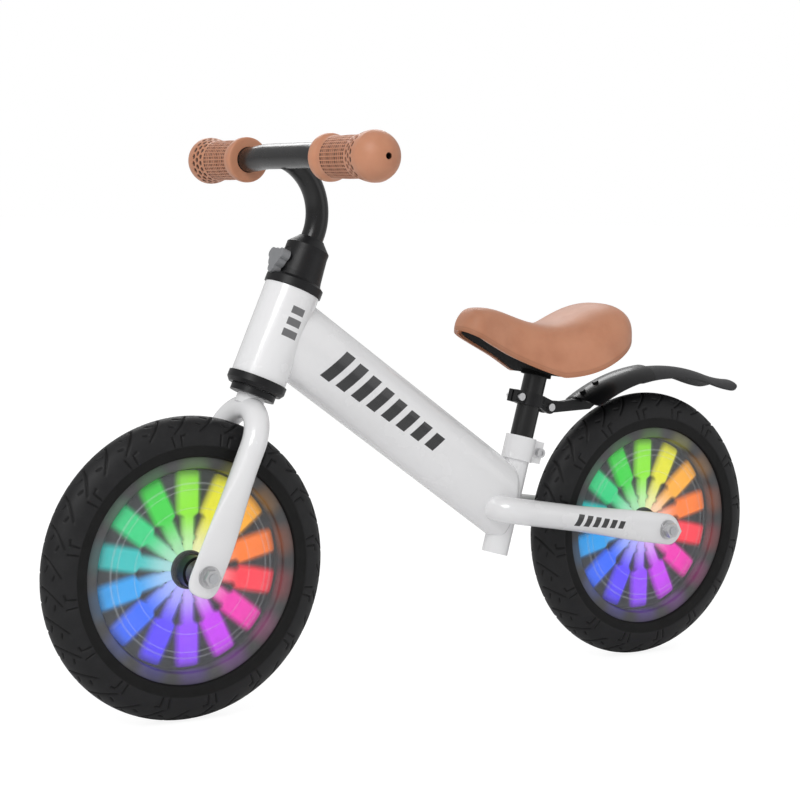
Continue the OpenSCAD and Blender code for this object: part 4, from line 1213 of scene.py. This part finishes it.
def strip(name, crown, lean, half_w):
    """An arched strip: crown is its middle line, lean its tilt from upright at each point, and
    the section is a circular arc of the blade's rise at full width."""
    wide = 31 * mm
    arc_r = (wide * wide + BLADE_RISE * BLADE_RISE) / (2 * BLADE_RISE)
    v = np.linspace(-1, 1, 49)[None]
    y = half_w[:, None] * v
    sag = np.sqrt(arc_r ** 2 - y ** 2) - arc_r
    out = np.stack([np.sin(lean), 0 * lean, np.cos(lean)], -1)
    points = crown[:, None] + sag[..., None] * out[:, None] + y[..., None] * side
    obj = face_up(tidy_mesh(grid_piece(name, points)))
    return round_edges(thicken(obj, BLADE_WALL), 0.7 * mm)


def ends_rounded(run, half, corner):
    """Half width along a strip whose corners are quarter ellipses of the given length."""
    tail = np.clip((corner - (run[-1] - run)) / corner, 0, 1)
    nose = np.clip((corner - run) / corner, 0, 1)
    return half * (0.55 + 0.45 * np.sqrt(1 - tail ** 2)) * (0.55 + 0.45 * np.sqrt(1 - nose ** 2))


print("strip helpers ready")

# %% [markdown]
# ## Front blade
# The glossy front blade follows an arc about a centre near the rear axle.

# %% Front blade
tilt = np.radians(np.linspace(-33, -6, 90))
crown = guard_at + GUARD_R * np.stack([np.sin(tilt), 0 * tilt, np.cos(tilt)], -1)
front_blade = strip("guard_front_strip", crown, tilt,
                    ends_rounded(GUARD_R * (tilt - tilt[0]), 31 * mm, 9 * mm))
glossy = moulded("guard gloss plastic", (0.008, 0.008, 0.009), 0.32, 500, 0.03, 1.4)
glossy.set(Coat_Weight=0.25, Coat_Roughness=0.12)
fit(front_blade, glossy, "mudguard", "guard_gloss", "guard_front_blade")
print("front blade made")

# %% [markdown]
# ## Rear blade
# The matt rear blade lies just under the front one on the same arc, then turns up in a second,
# wider arc that throws the water clear of the rider.

# %% Rear blade
r = GUARD_R - 2.9 * mm
arc_from, arc_to = np.radians(-16), np.radians(18.5)
flare_turn, flare_r = np.radians(14.5), 172 * mm
main = np.linspace(arc_from, arc_to, 90)
back = arc_to - flare_turn * np.linspace(0, 1, 46)[1:]
reach = r + flare_r
arc = r * np.stack([np.sin(main), 0 * main, np.cos(main)], -1)
tail = np.stack([reach * np.sin(arc_to) - flare_r * np.sin(back), 0 * back,
                 reach * np.cos(arc_to) - flare_r * np.cos(back)], -1)
line = guard_at + np.concatenate([arc, tail])
run = np.concatenate([[0], np.cumsum(np.linalg.norm(np.diff(line, axis=0), axis=1))])
rear_blade = strip("guard_rear_strip", line, np.concatenate([main, back]),
                   ends_rounded(run, 29.5 * mm, 17 * mm))
matt = moulded("guard matt plastic", (0.030, 0.030, 0.032), 0.44, 1500, 0.12, 1.4)
fit(rear_blade, matt, "mudguard_tail", "guard_matt", "guard_rear_blade")
print("rear blade made")

# %% [markdown]
# ## The parts that keep their CAD shape
# Clamps, nuts, washers, cups and the knob are already exact, so making them again would gain
# nothing. Each takes the finish of what it is made of.

# %% Finishes for the CAD nodes
zinc = metal("zinc plate", (0.62, 0.62, 0.63), 0.26, (1, 6, 1))
steel = metal("ground steel", (0.55, 0.56, 0.58), 0.18, (6, 1, 6))
bearing = metal("bearing steel", (0.45, 0.45, 0.47), 0.22, (1, 8, 1))
brass = metal("brass", (0.72, 0.50, 0.20), 0.30)
ferrite = moulded("ferrite", (0.05, 0.05, 0.055), 0.55, 1800, 0.2)
satin = moulded("satin black", (0.010, 0.010, 0.011), 0.34, 1700, 0.08, 1.5)
collar_black = moulded("collar plastic", (0.011, 0.011, 0.012), 0.36, 2300, 0.14, 1.5)
hub_black = moulded("hub plastic", (0.009, 0.009, 0.010), 0.32, 1900, 0.10)
grey = moulded("knob plastic", (0.25, 0.255, 0.265), 0.42, 2300, 0.14, 1.4)
pan_black = moulded("pan plastic", (0.004, 0.004, 0.004), 0.85, 1500, 0.1, 1.2)
pan_black.set(Specular_IOR_Level=0.12)
board = moulded("circuit board", (0.010, 0.085, 0.035), 0.35, 700, 0.10, 1.8)
head_mark = striped("head tube enamel", front_hub + steer_up * (head_foot_s + 0.060), steer_up,
                    steer_fore, -0.016, 3, 0.012, 0.017, 0.0, (0.16, 0.16, 0.165))
print("finishes for the CAD nodes ready")

# %% [markdown]
# ## Dressing the CAD nodes
# A table says which nodes take which finish. A bevel modifier then rounds each node's edges a third
# of a millimetre without touching its mesh.

# %% Dress the CAD nodes
EDGE = 0.35 * mm
finishes = {
    white: ("seat_tube", "fork_steerer", "seat_clamp"),
    head_mark: ("head_tube",),
    satin: ("lower_headset_cup", "upper_headset_cup", "fork_crown_race", "guard_clamp",
            "guard_arm", "guard_blade_screws"),
    pan_black: ("saddle_pan",),
    zinc: ("seat_clamp_bolt", "rear_axle_nuts", "front_axle_nuts", "rear_axle_washers",
           "front_axle_washers", "knob_washer", "clamp_screw", "saddle_cross_bolt",
           "guard_clamp_screw", "guard_pivot_bolt"),
    steel: ("rear_axle", "front_axle", "rear_axle_spacers", "front_axle_spacers"),
    bearing: ("front_bearings", "rear_bearings", "lower_head_bearing", "upper_head_bearing"),
    ferrite: ("rear_magnet_ring", "front_magnet_ring"),
    hub_black: ("front_hub", "rear_hub"),
    board: ("front_led_boards", "rear_led_boards"),
    brass: ("collar_insert_nut",),
    grey: ("clamp_knob",),
    collar_black: ("stem_collar",),
    bar_black: ("seat_post",),
}
dressed = 0
for look, names in finishes.items():
    for name in names:
        node = frame["nodes"][name]
        node.data.materials.clear()
        node.data.materials.append(look.material)
        round_edges(node, EDGE)
        dressed += 1
print("CAD nodes dressed:", dressed)

# %% [markdown]
# ## Floor
# A plain pale floor, large enough that its edge is never seen. Seen directly it is mixed with an
# even glow, so that it stays as pale as the background while it still takes the bike's shadow.

# %% Floor
FLOOR_HALF, GLOW, GLOW_SHARE = 60.0, 1.22, 0.72
x, y = np.meshgrid([-FLOOR_HALF, FLOOR_HALF], [-FLOOR_HALF, FLOOR_HALF], indexing="ij")
floor = grid_piece("studio_floor", np.stack([x, y, 0 * x], -1))
paper = Look("studio paper", Roughness=1.0, Specular_IOR_Level=0.0)
paper.set(Base_Color=paper.mix(paper.noise(3, 2), (0.92, 0.92, 0.92), (0.91, 0.91, 0.91)))
bright = paper.tree.nodes.new("ShaderNodeEmission")
bright.inputs["Strength"].default_value = GLOW
seen = paper.node("ShaderNodeLightPath", {}, {}, "Is Camera Ray")
paper.blend(seen * GLOW_SHARE, paper.bsdf.outputs[0], bright.outputs[0])
floor.data.materials.append(paper.material)
print("floor laid")

# %% [markdown]
# ## Background
# The background is white to the camera but lights the bike at half that, so that black parts keep
# their depth.

# %% Background
world = bpy.data.worlds.new("studio")
bpy.context.scene.world = world
world.use_nodes = True
sky = world.node_tree
background = sky.nodes["Background"]
background.inputs["Color"].default_value = (1.0, 1.0, 1.0, 1.0)
ray = sky.nodes.new("ShaderNodeLightPath")
level = sky.nodes.new("ShaderNodeMapRange")
level.inputs["To Min"].default_value = 0.50
level.inputs["To Max"].default_value = 1.0
sky.links.new(ray.outputs["Is Camera Ray"], level.inputs["Value"])
sky.links.new(level.outputs["Result"], background.inputs["Strength"])
print("background set")

# %% [markdown]
# ## Lights
# A broad key light from the upper left and front, a weak fill from the camera's right, and a strip
# behind that draws the edges of the black parts. Large lamps give the soft shadows of a studio.

# %% Lights
def stand(obj, x, y, z, place):
    """Puts an object at a place, with its three axes along x, y and z."""
    matrix = np.eye(4)
    matrix[:3] = np.stack([x, y, z, place], 1)
    obj.matrix_world = Matrix(matrix.tolist())
    bpy.context.scene.collection.objects.link(obj)


def area(name, place, target, size, watts):
    """A rectangular lamp whose -Z looks from its place to the target."""
    lamp = bpy.data.lights.new(name, "AREA")
    lamp.shape, lamp.size, lamp.size_y, lamp.energy = "RECTANGLE", size[0], size[1], watts
    obj = bpy.data.objects.new(name, lamp)
    z = np.array(place, float) - np.array(target, float)
    z /= np.linalg.norm(z)
    x = np.cross([0, 0, 1.0], z)
    x /= np.linalg.norm(x)
    stand(obj, x, np.cross(z, x), z, place)


middle = (0.0, 0.0, 0.3)
area("key", (-1.9, -1.3, 2.1), middle, (1.2, 1.2), 32)
area("fill", (1.6, -1.9, 0.9), middle, (1.4, 1.4), 4)
area("edge", (0.8, 1.9, 1.7), middle, (1.6, 0.6), 14)
print("lights placed")

# %% [markdown]
# ## Camera
# The camera stands to the left of the bike, ahead of it and a little above the saddle. Its axes are
# worked out from a yaw, a pitch and a slight roll.

# %% Camera
eye = (-1.0868, -1.6064, 0.5013)
yaw, pitch, roll = 0.577, -0.102, 0.017
look_at = np.array([
    math.sin(yaw) * math.cos(pitch), math.cos(yaw) * math.cos(pitch), math.sin(pitch)])
right = np.array([math.cos(yaw), -math.sin(yaw), 0.0])
over = np.cross(right, look_at)
x_axis = math.cos(roll) * right + math.sin(roll) * over
lens = bpy.data.cameras.new("studio camera")
lens.lens, lens.sensor_width, lens.clip_end = 83.35, 36.0, 100.0
camera = bpy.data.objects.new("studio camera", lens)
stand(camera, x_axis, np.cross(-look_at, x_axis), -look_at, eye)
bpy.context.scene.camera = camera
bpy.context.scene.view_settings.view_transform = "Standard"
print("camera set")
